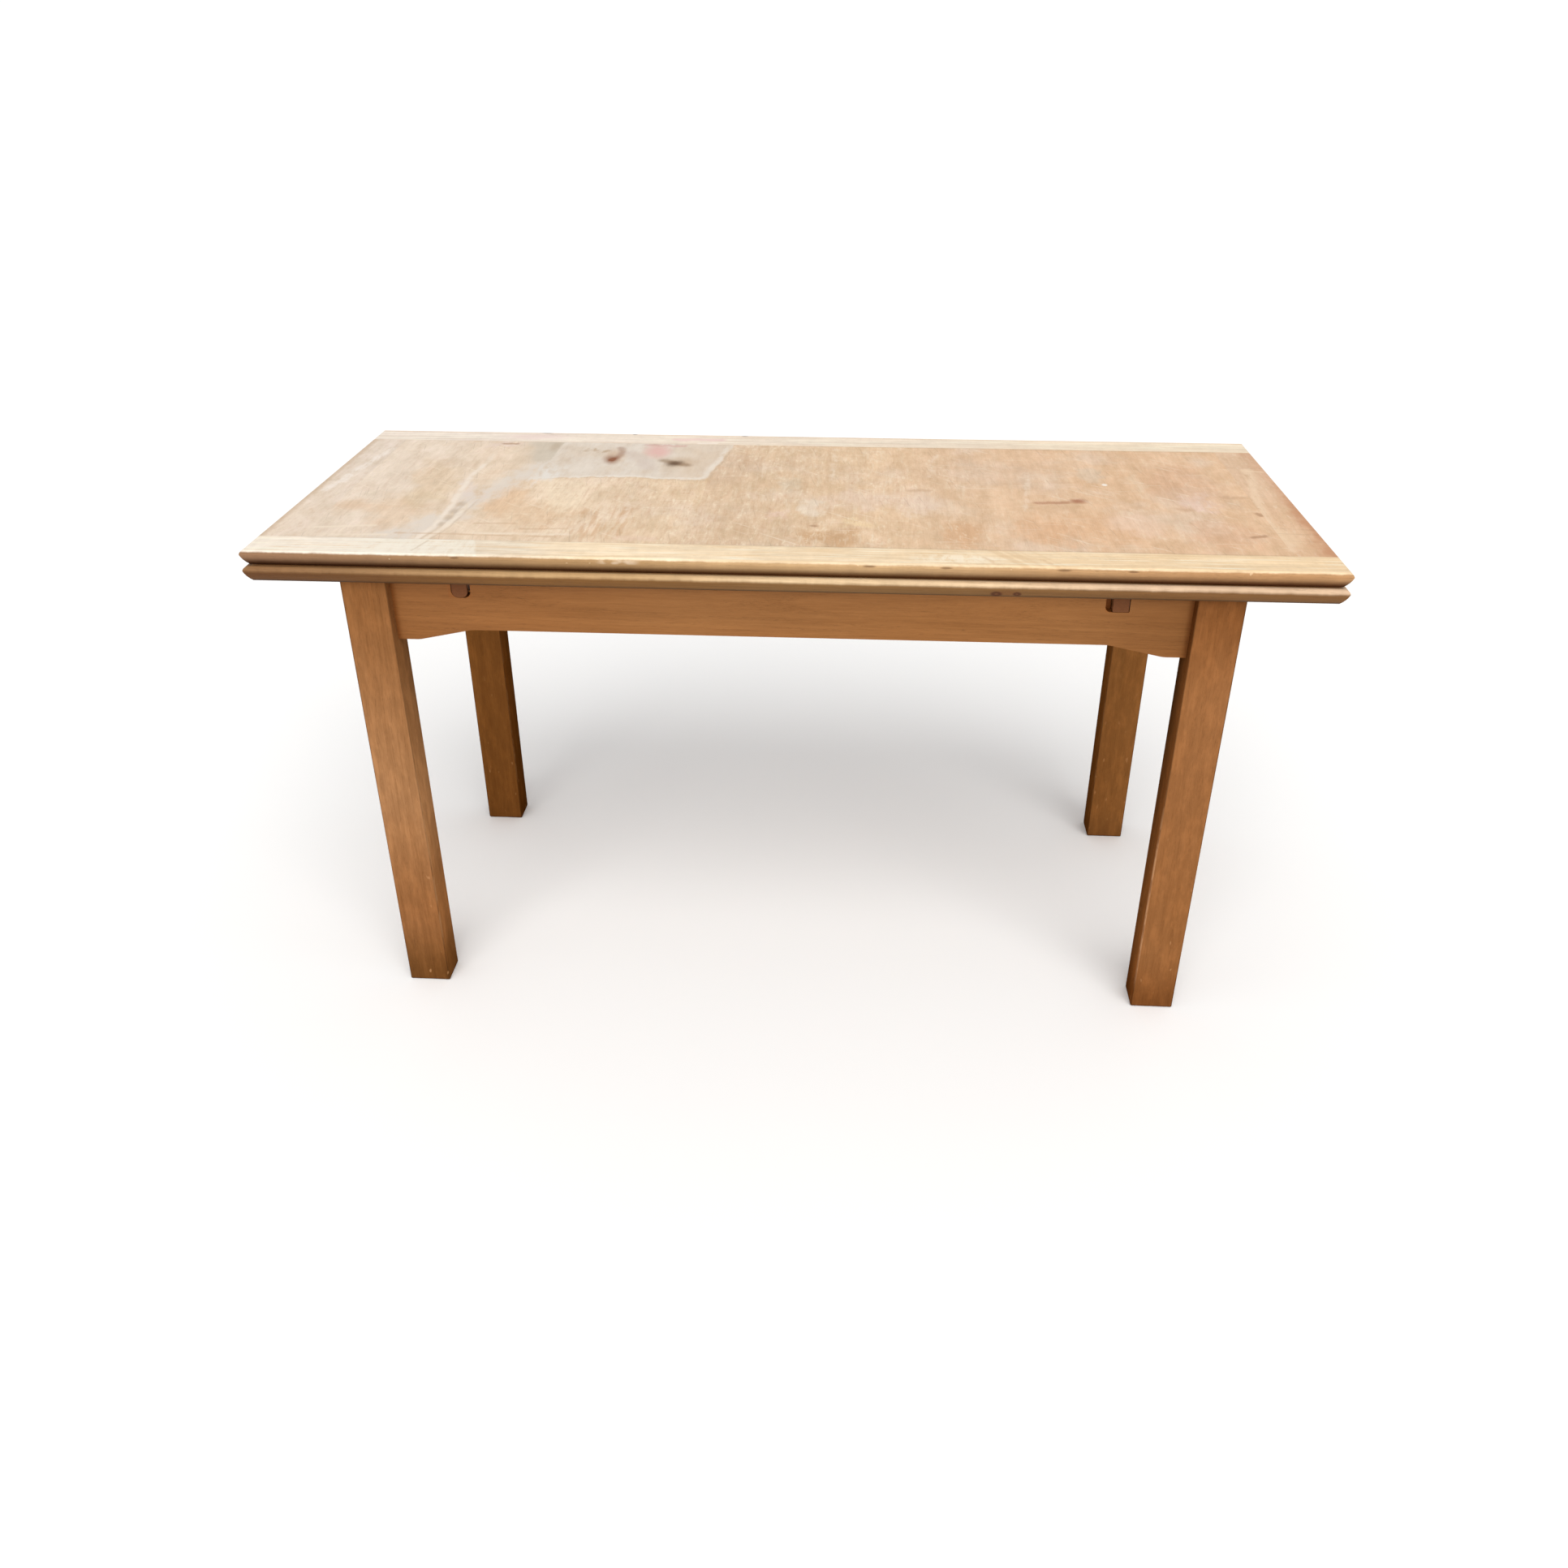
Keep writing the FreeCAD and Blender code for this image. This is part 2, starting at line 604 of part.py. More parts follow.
# two pegs are glued into the top, hang through the centre board and carry a keeper each
z_keeper = z_frame - dim("peg_drop") - dim("keeper_high")
pegs, keepers = [], []
for key, s in (("left", -1), ("right", 1)):
    peg = doc.addObject("Part::Cylinder", "peg_" + key)
    peg.Label = "peg_" + key
    bind(peg, "Radius", dim("peg_rad"))
    bind(peg, "Height", z_top_mid - z_keeper - dim("keeper_high"))
    place(peg, dim("peg_from_middle") * s, ZERO, z_keeper + dim("keeper_high"))
    pegs.append(peg)
    keeper = doc.addObject("Part::Box", "keeper_" + key)
    keeper.Label = "keeper_" + key
    bind(keeper, "Length", dim("keeper_long"))
    bind(keeper, "Width", dim("keeper_wide"))
    bind(keeper, "Height", dim("keeper_high"))
    place(keeper, dim("peg_from_middle") * s - dim("keeper_long") / 2, -dim("keeper_wide") / 2, z_keeper)
    keepers.append(keeper)
keeper_holes = screws("keeper_screws", [(s * dim("peg_from_middle").v, 0.0, z_keeper.v) for s in (-1, 1)], dim("keeper_screw_long").v)
for label, members in (("top_pegs", pegs), ("peg_keepers", keepers)):
    group = doc.addObject("Part::Compound", label + "_blank")
    group.Links = members
    drilled(group, label, keeper_holes)


# ---------------------------------------------------------------- leaves with their runners
def make_leaf(side, runner_x, back):
    """One leaf, drawn for the front; the back one is the same turned half round. Its runners are screwed to its underside,
    pass through the notches of the apron and run on under the centre board."""
    s = -1 if back else 1
    turn = 180 if back else 0
    name = lambda piece: "%s_leaf_%s" % (side, piece)
    panel_deep = leaf_wide - RW - IW
    panel_y = -(leaf_in + IW + panel_deep / 2)
    make_rail(name("outer_rail"), L, RW, ZERO, -D / 2 * s, z_leaf_top, turn)
    make_rail(name("inner_rail"), L, IW, ZERO, -leaf_in * s, z_leaf_top, 180 + turn, moulded=False)
    left, right = ("right", "left") if back else ("left", "right")
    make_rail(name(left + "_rail"), panel_deep, RW, -L / 2 * s, panel_y * s, z_leaf_top, -90 + turn, through=False)
    make_rail(name(right + "_rail"), panel_deep, RW, L / 2 * s, panel_y * s, z_leaf_top, 90 + turn, through=False)
    panel = make_panel(name("panel"), L - RW * 2, panel_deep, ZERO, panel_y * s, z_leaf_mid)

    apron_face = apron_y + dim("apron_thick") / 2
    apron_back = apron_y - dim("apron_thick") / 2
    heads, stop_heads, blanks, stops = [], [], [], []
    for key, sx in ((left, -1), (right, 1)):
        label = "%s_runner_%s" % (side, key)
        b = new_body(label)
        y0, y1, ramp = -apron_face - dim("runner_proud"), dim("runner_tail"), dim("runner_ramp")
        zt, zf, zr = ZERO, -dim("runner_high"), -dim("runner_relief")
        sk = sketch(b, "YZ_Plane", label + "_side")
        profile(sk, [(y0, zt), (y0, zf), (y1 - ramp, zf), (y1, zf + ramp), (y1, zr), (-leaf_in, zr), (-leaf_in, zt)])
        pad(b, sk, RWD, label + "_width")
        # in the leaf's own frame the left runner is rounded below, as its notch is
        own_left = sx < 0
        dress(b, "Fillet", label + "_foot_arrises", dim("runner_round" if own_left else "runner_ease"), lambda e: along(e, 1) and abs(mid(e).z - zf.v) < 1e-3)
        place(b, runner_x * (sx * s), ZERO, z_leaf_under, turn)
        blanks.append((label, b, sx))
        for y in (-215.0, -160.0, -110.0):
            heads.append((sx * runner_x.v, y, z_runner_foot.v))
        stop = doc.addObject("Part::Box", "%s_stop_%s" % (side, key))
        stop.Label = "%s_runner_stop_%s" % (side, key)
        bind(stop, "Length", RWD)
        bind(stop, "Width", dim("stop_long"))
        bind(stop, "Height", dim("stop_high"))
        stop_y = dim("draw_travel") - apron_back + dim("stop_gap")
        if back:
            place(stop, runner_x * -sx - RWD / 2, -stop_y - dim("stop_long"), z_runner_foot - dim("stop_high"))
        else:
            place(stop, runner_x * sx - RWD / 2, stop_y, z_runner_foot - dim("stop_high"))
        stops.append(stop)
        stop_heads.append((sx * runner_x.v, stop_y.v + dim("stop_long").v / 2, z_runner_foot.v - dim("stop_high").v))
    runner_holes = screws(side + "_runner_screws", turned(heads, back), dim("runner_screw_long").v)
    stop_holes = screws(side + "_stop_screws", turned(stop_heads, back), dim("stop_screw_long").v)
    holes = doc.addObject("Part::Compound", side + "_runner_all_holes")
    holes.Links = [runner_holes, stop_holes]
    for label, b, sx in blanks:
        drilled(b, label, holes)
    drilled(panel, name("panel"), runner_holes)
    group = doc.addObject("Part::Compound", side + "_runner_stops_blank")
    group.Links = stops
    drilled(group, side + "_runner_stops", stop_holes)


make_leaf("front", dim("runner_front"), False)
make_leaf("back", dim("runner_back"), True)

# ---------------------------------------------------------------- check and write
doc.recompute()
for obj in doc.Objects:
    if "Invalid" in obj.State or "Error" in obj.State:
        raise RuntimeError("%s is %s" % (obj.Label, obj.State))
for label, obj in NODES.items():
    shape = obj.Shape
    if shape.isNull() or not shape.isValid() or not shape.Solids:
        raise RuntimeError(label + " has no valid solid")
os.makedirs("parts", exist_ok=True)
for label, obj in NODES.items():
    if obj.Label != label:
        raise RuntimeError("%s is labelled %s" % (label, obj.Label))
    obj.Shape.exportStep("parts/%s.step" % label)
box = Part.makeCompound([obj.Shape for obj in NODES.values()]).BoundBox
print("nodes %d, box %.1f x %.1f x %.1f" % (len(NODES), box.XLength, box.YLength, box.ZLength))
for label, obj in NODES.items():
    bb = obj.Shape.BoundBox
    print("%-24s solids %2d  volume %9.1f cm3  x %.1f %.1f  y %.1f %.1f  z %.1f %.1f" % (label, len(obj.Shape.Solids), obj.Shape.Volume / 1000.0, bb.XMin, bb.XMax, bb.YMin, bb.YMax, bb.ZMin, bb.ZMax))
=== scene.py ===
import math

import bpy
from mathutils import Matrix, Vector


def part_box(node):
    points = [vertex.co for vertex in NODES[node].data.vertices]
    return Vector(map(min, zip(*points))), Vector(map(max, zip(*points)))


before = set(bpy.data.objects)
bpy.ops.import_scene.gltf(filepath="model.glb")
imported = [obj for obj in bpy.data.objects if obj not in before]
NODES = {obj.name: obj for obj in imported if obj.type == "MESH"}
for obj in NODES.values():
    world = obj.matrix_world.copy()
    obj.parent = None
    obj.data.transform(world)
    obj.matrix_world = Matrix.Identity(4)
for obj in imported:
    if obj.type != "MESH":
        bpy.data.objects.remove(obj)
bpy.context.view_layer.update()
scene = bpy.context.scene

# ---------------------------------------------------------------- camera, at the photograph's viewing angle
cam_data = bpy.data.cameras.new("camera")
cam_data.sensor_width = 36.0
cam_data.lens = 36.0 * 1621.4 / 1932.0
cam_data.clip_start, cam_data.clip_end = 0.05, 900.0
cam = bpy.data.objects.new("camera", cam_data)
scene.collection.objects.link(cam)
cam.location = (0.104, -1.989, 1.393)
cam.rotation_euler = (math.radians(90.0 - 30.187), math.radians(0.071), math.radians(3.517))
scene.camera = cam
scene.view_settings.view_transform = "Standard"


# ---------------------------------------------------------------- shader trees written as arithmetic
NT = None


def node(kind, **settings):
    n = NT.nodes.new(kind)
    for key, value in settings.items():
        setattr(n, key, value)
    return n


class F:
    """A number that varies over the surface."""

    def __init__(self, socket):
        self.s = socket

    def __add__(a, b):
        return mth("ADD", a, b)

    __radd__ = __add__

    def __sub__(a, b):
        return mth("SUBTRACT", a, b)

    def __rsub__(a, b):
        return mth("SUBTRACT", b, a)

    def __mul__(a, b):
        return mth("MULTIPLY", a, b)

    __rmul__ = __mul__

    def __truediv__(a, b):
        return mth("DIVIDE", a, b)

    def __neg__(a):
        return mth("MULTIPLY", a, -1.0)


class C:
    """A colour or vector that varies over the surface. Colours are carried as vectors."""

    def __init__(self, socket):
        self.s = socket


def put(socket, value):
    if isinstance(value, (F, C)):
        NT.links.new(value.s, socket)
    else:
        socket.default_value = value


def mth(op, a, b=None):
    n = node("ShaderNodeMath")
    if op != "ADD":
        n.operation = op
    put(n.inputs[0], a)
    if b is not None:
        put(n.inputs[1], b)
    return F(n.outputs[0])


def clamp01(a):
    n = node("ShaderNodeClamp")
    put(n.inputs[0], a)
    return F(n.outputs[0])


def low(a, b):
    return mth("MINIMUM", a, b)


def high(a, b):
    return mth("MAXIMUM", a, b)


def magnitude(a):
    return mth("ABSOLUTE", a)


def root(a):
    return mth("SQRT", a)


def power(a, k):
    return mth("POWER", a, k)


def smooth(x, e0, e1):
    """0 at e0 and 1 at e1, eased."""
    n = node("ShaderNodeMapRange", interpolation_type="SMOOTHSTEP", clamp=False)
    put(n.inputs["Value"], x)
    put(n.inputs["From Min"], e0)
    put(n.inputs["From Max"], e1)
    return F(n.outputs["Result"])


def vec(x, y, z):
    n = node("ShaderNodeCombineXYZ")
    for i, value in enumerate((x, y, z)):
        put(n.inputs[i], value)
    return C(n.outputs[0])


def noise(v, detail=2.0, rough=0.5):
    n = node("ShaderNodeTexNoise")
    put(n.inputs["Vector"], v)
    put(n.inputs["Scale"], 1.0)
    put(n.inputs["Detail"], detail)
    put(n.inputs["Roughness"], rough)
    return F(n.outputs[0])


def random1(x):
    n = node("ShaderNodeTexWhiteNoise", noise_dimensions="1D")
    put(n.inputs["W"], x)
    return F(n.outputs["Value"])


def parts(v):
    n = node("ShaderNodeSeparateXYZ")
    put(n.inputs[0], v)
    return F(n.outputs[0]), F(n.outputs[1]), F(n.outputs[2])


def mix(a, b, f):
    """a where f is 0, b where f is 1."""
    n = node("ShaderNodeMix", data_type="VECTOR")
    put(n.inputs[0], f)
    put(n.inputs[4], a)
    put(n.inputs[5], b)
    return C(n.outputs[1])


def shade(c, f):
    """A colour times a number."""
    n = node("ShaderNodeVectorMath", operation="SCALE")
    put(n.inputs[0], c)
    put(n.inputs["Scale"], f)
    return C(n.outputs[0])


def tint(c, t):
    """A colour times another."""
    n = node("ShaderNodeVectorMath", operation="MULTIPLY")
    put(n.inputs[0], c)
    put(n.inputs[1], t)
    return C(n.outputs[0])


def srgb(r, g, b, gain=1.0):
    """A colour given as screen values, 0 to 255."""
    out = []
    for value in (r, g, b):
        value /= 255.0
        out.append(gain * (value / 12.92 if value <= 0.04045 else ((value + 0.055) / 1.055) ** 2.4))
    return tuple(out)


def here():
    """The point on the piece, in the frame's own metres with the joints at rest."""
    n = node("ShaderNodeTexCoord")
    return parts(C(n.outputs["Object"]))


def facing():
    """The surface normal, turning with the piece."""
    n = node("ShaderNodeTexCoord")
    return parts(C(n.outputs["Normal"]))


# ---------------------------------------------------------------- groups that the materials share
def group(name, inputs, body):
    """A node group with numbers going in. body gets them and returns the numbers that come out, by name."""
    global NT
    keep = NT
    tree = bpy.data.node_groups.new(name, "ShaderNodeTree")
    for key in inputs:
        tree.interface.new_socket(name=key, in_out="INPUT", socket_type="NodeSocketFloat")
    NT = tree
    gin = node("NodeGroupInput")
    out = body(*[F(gin.outputs[i]) for i in range(len(inputs))])
    for key in out:
        tree.interface.new_socket(name=key, in_out="OUTPUT", socket_type="NodeSocketFloat")
    gout = node("NodeGroupOutput")
    for i, value in enumerate(out.values()):
        put(gout.inputs[i], value)
    NT = keep
    return tree


def use(tree, *values):
    n = node("ShaderNodeGroup", node_tree=tree)
    for i, value in enumerate(values):
        put(n.inputs[i], value)
    return [F(s) for s in n.outputs]


def oval_body(x, y, cx, cy, c, s, rx, ry):
    px, py = x - cx, y - cy
    a, b = (px * c + py * s) / rx, (py * c - px * s) / ry
    return {"distance": root(a * a + b * b)}


def stroke_body(x, y, ax, ay, dx, dy, k):
    px, py = x - ax, y - ay
    t = clamp01((px * dx + py * dy) / k)
    ex, ey = px - t * dx, py - t * dy
    return {"distance": root(ex * ex + ey * ey)}


def oak_body(u, v, w, seed, pith_v, pith_w, ring, slope_v, slope_w, wander):
    """The figure of a piece of oak in three dimensions, so that faces and end grain agree. u runs along the grain.
    pith is the middle of the tree in v and w, and slope is how it runs out of the board."""
    slow = noise(vec(u * 1.7 + 13.1 * seed, v * 8.0 + 3.7 * seed, w * 8.0), 2.0, 0.5) - 0.5
    a = v - pith_v + u * slope_v
    b = w - pith_w + u * slope_w
    mid = noise(vec(u * 7.0 + 5.3 * seed, v * 34.0, w * 34.0), 2.0, 0.55) - 0.5
    r = root(a * a + b * b) + slow * wander + mid * 0.0016
    uneven = noise(vec(r * 110.0 + 7.7 * seed, 0.5, 0.5), 2.0, 0.6)
    turn = r / ring + uneven * 2.6
    f = mth("FRACT", turn)
    early = smooth(f, 0.0, 0.12) * smooth(f, 0.70, 0.20)
    year = random1(mth("FLOOR", turn) + 17.0 * seed)
    # the fine lines follow the grain's slow wander
    vw, ww = v + slow * wander * 0.8, w + slow * wander * 0.8
    broad = noise(vec(u * 1.1 + 2.1 * seed, vw * 15.0 + 9.1 * seed, ww * 15.0), 2.0, 0.5)
    streak = noise(vec(u * 4.2 + 4.1 * seed, vw * 120.0, ww * 120.0), 3.0, 0.6)
    fibre = noise(vec(u * 30.0 + seed, vw * 560.0, ww * 560.0), 2.0, 0.6)
    speck = noise(vec(u * 110.0 + 3.0 * seed, vw * 1900.0, ww * 1900.0), 1.0, 0.5)
    pore = smooth(speck, 0.60, 0.72) * (early * 0.7 + 0.3)
    ray = smooth(noise(vec(u * 55.0, v * 160.0 + 8.0 * seed, w * 700.0), 1.0, 0.5), 0.66, 0.78)
    rings = 0.5 + (year - 0.5) * 0.6 - early * 0.6
    grain = 0.5 + (streak - 0.5) * 1.0 + (fibre - 0.5) * 0.8 + (broad - 0.5) * 0.8
    height = 0.5 - pore * 0.55 + (fibre - 0.5) * 0.35 - early * 0.08
    return {"rings": rings, "grain": grain, "pore": pore, "ray": ray, "height": height}


def worn_body(x, y):
    """Cloudy wear and short flecks along a grain that runs from front to back, the same across the joints."""
    return {
        "large": noise(vec(x * 7.0 + 1.3, y * 6.0, 5.0), 4.0, 0.6),
        "middling": noise(vec(x * 27.0, y * 13.0, 2.0), 4.0, 0.65),
        "small": noise(vec(x * 92.0, y * 30.0, 6.0), 3.0, 0.65),
        "fleck": noise(vec(x * 190.0, y * 62.0, 0.4), 2.0, 0.6),
        "streak": noise(vec(x * 120.0, y * 15.0, 9.4), 2.0, 0.6),
        "shift_x": noise(vec(x * 20.0, y * 14.0, 1.0), 3.0, 0.6) - 0.5,
        "shift_y": noise(vec(x * 20.0, y * 14.0, 9.0), 3.0, 0.6) - 0.5,
    }


WORN = group("worn", ("x", "y"), worn_body)
OVAL = group("oval", ("x", "y", "cx", "cy", "c", "s", "rx", "ry"), oval_body)
STROKE = group("stroke", ("x", "y", "ax", "ay", "dx", "dy", "k"), stroke_body)
OAK = group("oak", ("u", "v", "w", "seed", "pith v", "pith w", "ring", "slope v", "slope w", "wander"), oak_body)


def oval(x, y, centre, radii, turn=0.0):
    """0 at the centre of an oval and 1 on its outline."""
    t = math.radians(turn)
    return use(OVAL, x, y, centre[0], centre[1], math.cos(t), math.sin(t), radii[0], radii[1])[0]


def stroke(x, y, a, b):
    """Distance to a straight stroke from a to b."""
    dx, dy = b[0] - a[0], b[1] - a[1]
    return use(STROKE, x, y, a[0], a[1], dx, dy, dx * dx + dy * dy)[0]


def path(x, y, points):
    """Distance to a line through points."""
    d = None
    for a, b in zip(points, points[1:]):
        s = stroke(x, y, a, b)
        d = s if d is None else low(d, s)
    return d


class Oak:
    def __init__(self, u, v, w, seed, pith=(0.01, -0.10), ring=0.0030, slope=(0.02, 0.015), wander=0.010, figure=0.25):
        rings, grain, self.pore, self.ray, self.height = use(OAK, u, v, w, seed, pith[0], pith[1], ring, slope[0], slope[1], wander)
        # 0 dark, 1 light
        self.tone = grain + (rings - 0.35) * figure


def wood(base, tone, depth=1.0):
    """Grain laid into a colour without changing its average: the dark of it is redder than the light."""
    deep = (1.0 - 0.34 * depth, 1.0 - 0.40 * depth, 1.0 - 0.48 * depth)
    pale = (1.0 + 0.34 * depth, 1.0 + 0.39 * depth, 1.0 + 0.45 * depth)
    if isinstance(base, C):
        a, b = tint(base, deep), tint(base, pale)
    else:
        a, b = tuple(base[i] * deep[i] for i in range(3)), tuple(base[i] * pale[i] for i in range(3))
    return mix(a, b, clamp01(tone))


def finish(color, rough, height=None, depth=0.0004, spec=0.35, sheen=None, metal=None):
    """Ends a tree: the shader with its colour, roughness and relief. height is in units of depth metres."""
    shader = node("ShaderNodeBsdfPrincipled")
    put(shader.inputs["Base Color"], color)
    put(shader.inputs["Roughness"], rough)
    put(shader.inputs["Specular IOR Level"], spec)
    if sheen is not None:
        shader.inputs["Sheen Weight"].default_value = sheen
        shader.inputs["Sheen Roughness"].default_value = 0.5
    if metal is not None:
        shader.inputs["Metallic"].default_value = metal
    if height is not None:
        b = node("ShaderNodeBump")
        b.inputs["Strength"].default_value = 1.0
        b.inputs["Distance"].default_value = depth
        put(b.inputs["Height"], height)
        NT.links.new(b.outputs["Normal"], shader.inputs["Normal"])
    out = node("ShaderNodeOutputMaterial")
    NT.links.new(shader.outputs[0], out.inputs["Surface"])


def material(name, build):
    global NT
    mat = bpy.data.materials.new(name)
    mat.use_nodes = True
    NT = mat.node_tree
    NT.nodes.clear()
    build()
    return mat


def give(names, mat):
    for name in names:
        mesh = NODES[name].data
        mesh.materials.clear()
        mesh.materials.append(mat)


def middle(name):
    a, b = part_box(name)
    return tuple((a[i] + b[i]) / 2 for i in range(3))


def ramp(x, stops):
    """Colours eased from one to the next along x. Each stop is a place and its colour, places rising."""
    c = stops[0][1]
    for (x0, _), (x1, c1) in zip(stops, stops[1:]):
        c = mix(c, c1, smooth(x, x0, x1))
    return c


def scaled(c, k):
    return tuple(v * k for v in c)


# how much brighter than their own colour the faces come out under the lamps, by the way they face
UP, FRONT = (0.89, 0.89, 0.89), (0.82, 0.80, 0.70)


def up(r, g, b):
    """The colour of a face that looks up and is to come out as r, g, b."""
    return tuple(v * k for v, k in zip(srgb(r, g, b), UP))


def front(r, g, b):
    return tuple(v * k for v, k in zip(srgb(r, g, b), FRONT))


# ---------------------------------------------------------------- legs
def leg_material(name, sx, sy, seed, stops):
    def build():
        x, y, z = here()
        cx, cy, cz = middle(name)
        v, w = x - cx, y - cy
        nx, ny, nz = facing()
        oak = Oak(z - cz, v, w, seed, pith=(0.05 * sx, 0.16), ring=0.0028, slope=(0.012, 0.02), wander=0.010, figure=0.10)
        patch = noise(vec(x * 14.0, y * 14.0 + seed, z * 6.0), 3.0, 0.6)
        # paler half way up, darker near the top and at the foot
        base = ramp(z + (patch - 0.5) * 0.05, stops)
        col = wood(base, oak.tone, 0.46 if sx > 0 else 0.60)
        cast = noise(vec(x * 9.0 + seed, y * 9.0, z * 3.1), 2.0, 0.5)
        col = tint(col, vec(1.0 + (cast - 0.5) * 0.07, 1.0, 1.0 - (cast - 0.5) * 0.16))
        col = shade(col, 1.0 + (patch - 0.5) * 0.10)
        col = shade(col, 1.0 - oak.pore * 0.16)
        # painted light and shade on the inner faces under the table: browned, and darkened most near the top and
        # towards the back arris; low down near the front arris the front legs' inner faces are painted lighter
        inner_x = smooth(nx * -float(sx), 0.55, 0.95)
        inner_y = smooth(ny * -float(sy), 0.55, 0.95) if sy < 0 else 0.0
        deep = clamp01(inner_y + inner_x) if sy < 0 else inner_x
        back = smooth(w, -0.026, 0.024)
        if sx > 0 and sy < 0:
            keep = 1.12 - smooth(z, 0.10, 0.60) * 0.42 - back * 0.46
        elif sy < 0:
            keep = 1.50 - smooth(z, 0.30, 0.66) * 0.42 - back * 0.34
        else:
            keep = 0.80 - smooth(z, 0.30, 0.66) * 0.24 - back * 0.20
        col = tint(col, mix((1.0, 1.0, 1.0), ((1.04, 0.90, 0.70) if sx > 0 else (1.0, 0.99, 0.94)) if sy < 0 else (1.02, 0.88, 0.66), deep))
        col = shade(col, 1.0 - deep * (1.0 - keep))
        # painted shade along the arrises, where the rounded edges turn from the light, and rubs that cut through it
        # low down
        rub = noise(vec(x * 60.0, y * 60.0, z * 22.0 + seed), 3.0, 0.65)
        arris_x, arris_y = smooth(magnitude(v), 0.0306, 0.0326), smooth(magnitude(w), 0.0231, 0.0251)
        line = arris_x * arris_y * 0.8 + arris_x * 0.30 + high(arris_x, arris_y) * smooth(rub, 0.30, 0.60) * 0.35
        col = shade(col, 1.0 - clamp01(line) * 0.50)
        # small scuffs, more of them low down
        sc = noise(vec(x * 95.0 + 3.0 * seed, y * 95.0, z * 42.0), 1.0, 0.5)
        scuff = smooth(sc, 0.700, 0.760) * (smooth(z, 0.42, 0.08) * 0.8 + 0.05) * (1.0 - deep * 0.6)
        col = mix(col, srgb(200, 150, 104) if sy < 0 else srgb(166, 118, 76), scuff * 0.55)
        edge_rub = arris_x * smooth(rub, 0.40, 0.54) * smooth(z, 0.46, 0.30) * smooth(z, 0.05, 0.12) * smooth(magnitude(w), 0.0200, 0.0235)
        if sx > 0 and sy < 0:
            # the inner front arris is lighter on its lower half
            bare = smooth(v * -1.0, 0.0302, 0.0318) * smooth(w, -0.0205, -0.0235) * smooth(z, 0.40, 0.26) * smooth(z, 0.03, 0.09)
            col = mix(col, srgb(176, 128, 92), bare * (0.35 + smooth(rub, 0.34, 0.56) * 0.5))
        col = mix(col, srgb(190, 142, 98) if sy < 0 else srgb(150, 104, 64), edge_rub * 0.30)
        # dirt at the foot
        grime = smooth(z + (noise(vec(x * 30.0, y * 30.0, z * 18.0 + seed), 3.0, 0.6) - 0.5) * 0.07, 0.060, 0.0)
        col = shade(col, 1.0 - grime * (0.20 if sx > 0 else 0.12))
        col = mix(col, srgb(52, 28, 14), smooth(z, 0.0050, 0.0004) * 0.6)
        rough = 0.50 + (patch - 0.5) * 0.22 + oak.pore * 0.12 + scuff * 0.15 + grime * 0.1
        finish(col, rough, oak.height - scuff * 0.25, 0.00026, spec=0.0)

    return material(name, build)


# ---------------------------------------------------------------- aprons
def apron_material(name, axis, seed, stops):
    def build():
        x, y, z = here()
        cx, cy, cz = middle(name)
        u, v = (x - cx, y - cy) if axis == "x" else (y - cy, x - cx)
        run = x if axis == "x" else y
        nx, ny, nz = facing()
        # the face of an apron is upright: across the board is z, through it is the thickness
        oak = Oak(u, z - cz, v, seed, pith=(0.02, 0.075), ring=0.0036, slope=(0.006, 0.010), wander=0.014, figure=0.14)
        patch = noise(vec(x * 7.0, y * 7.0 + seed, z * 16.0), 3.0, 0.6)
        base = ramp(run + (patch - 0.5) * 0.12, stops)
        col = wood(base, oak.tone, 0.60)
        cast = noise(vec(x * 3.0 + seed, y * 3.0, z * 12.0), 2.0, 0.5)
        col = tint(col, vec(1.0 + (cast - 0.5) * 0.08, 1.0, 1.0 - (cast - 0.5) * 0.16))
        col = shade(col, 1.0 + (patch - 0.5) * 0.12)
        col = shade(col, 1.0 - oak.pore * 0.16)
        # painted light on the upper part, against the shade of the leaf above
        col = shade(col, 0.99 + smooth(z, 0.660, 0.702) * 0.17)
        # a painted shadow line right under the leaf
        col = tint(col, mix((1.0, 1.0, 1.0), (0.36, 0.30, 0.22), smooth(z, 0.7030, 0.7120)))
        # painted shade in the corners beside the legs
        ends = smooth(magnitude(run), 0.5540, 0.5630) if axis == "x" else smooth(magnitude(run), 0.2240, 0.2330)
        col = tint(col, mix((1.0, 1.0, 1.0), (0.76, 0.63, 0.48), ends))
        # darker on faces that look down, and the inner face a plainer, darker brown
        under = smooth(nz, -0.5, -0.9)
        col = shade(col, 1.0 - under * 0.45)
        out = (y if axis == "x" else x) * (1.0 if name in ("apron_back", "apron_right") else -1.0)
        inner = smooth(out, 0.262, 0.258) if axis == "x" else smooth(out, 0.606, 0.602)
        col = mix(col, wood(srgb(122, 84, 50), oak.tone, 0.8), inner * 0.8)
        # painted light: the walls of the notches round the runners get a warm brown, so their shade comes out brown
        # rather than black
        if axis == "x":
            s = 1.0 if name == "apron_back" else -1.0
            r1 = 0.430 if name == "apron_back" else 0.464
            inside = smooth(z, 0.6798, 0.6818)
            xs = x * s
            round_side = smooth(magnitude(xs - r1), 0.0178, 0.0158)
            square_in = smooth(-xs - (r1 - 0.0212), -0.0014, 0.0008) * smooth(-xs - (r1 + 0.0128), 0.0010, -0.0010)
            hole = inside * clamp01(round_side + square_in)
            face = smooth(magnitude(y), 0.2688, 0.2680)
            col = mix(col, srgb(150, 86, 36), hole * face * 0.90)
        rough = 0.50 + (patch - 0.5) * 0.22 + oak.pore * 0.12
        finish(col, rough, oak.height, 0.00026, spec=0.11)

    return material(name, build)


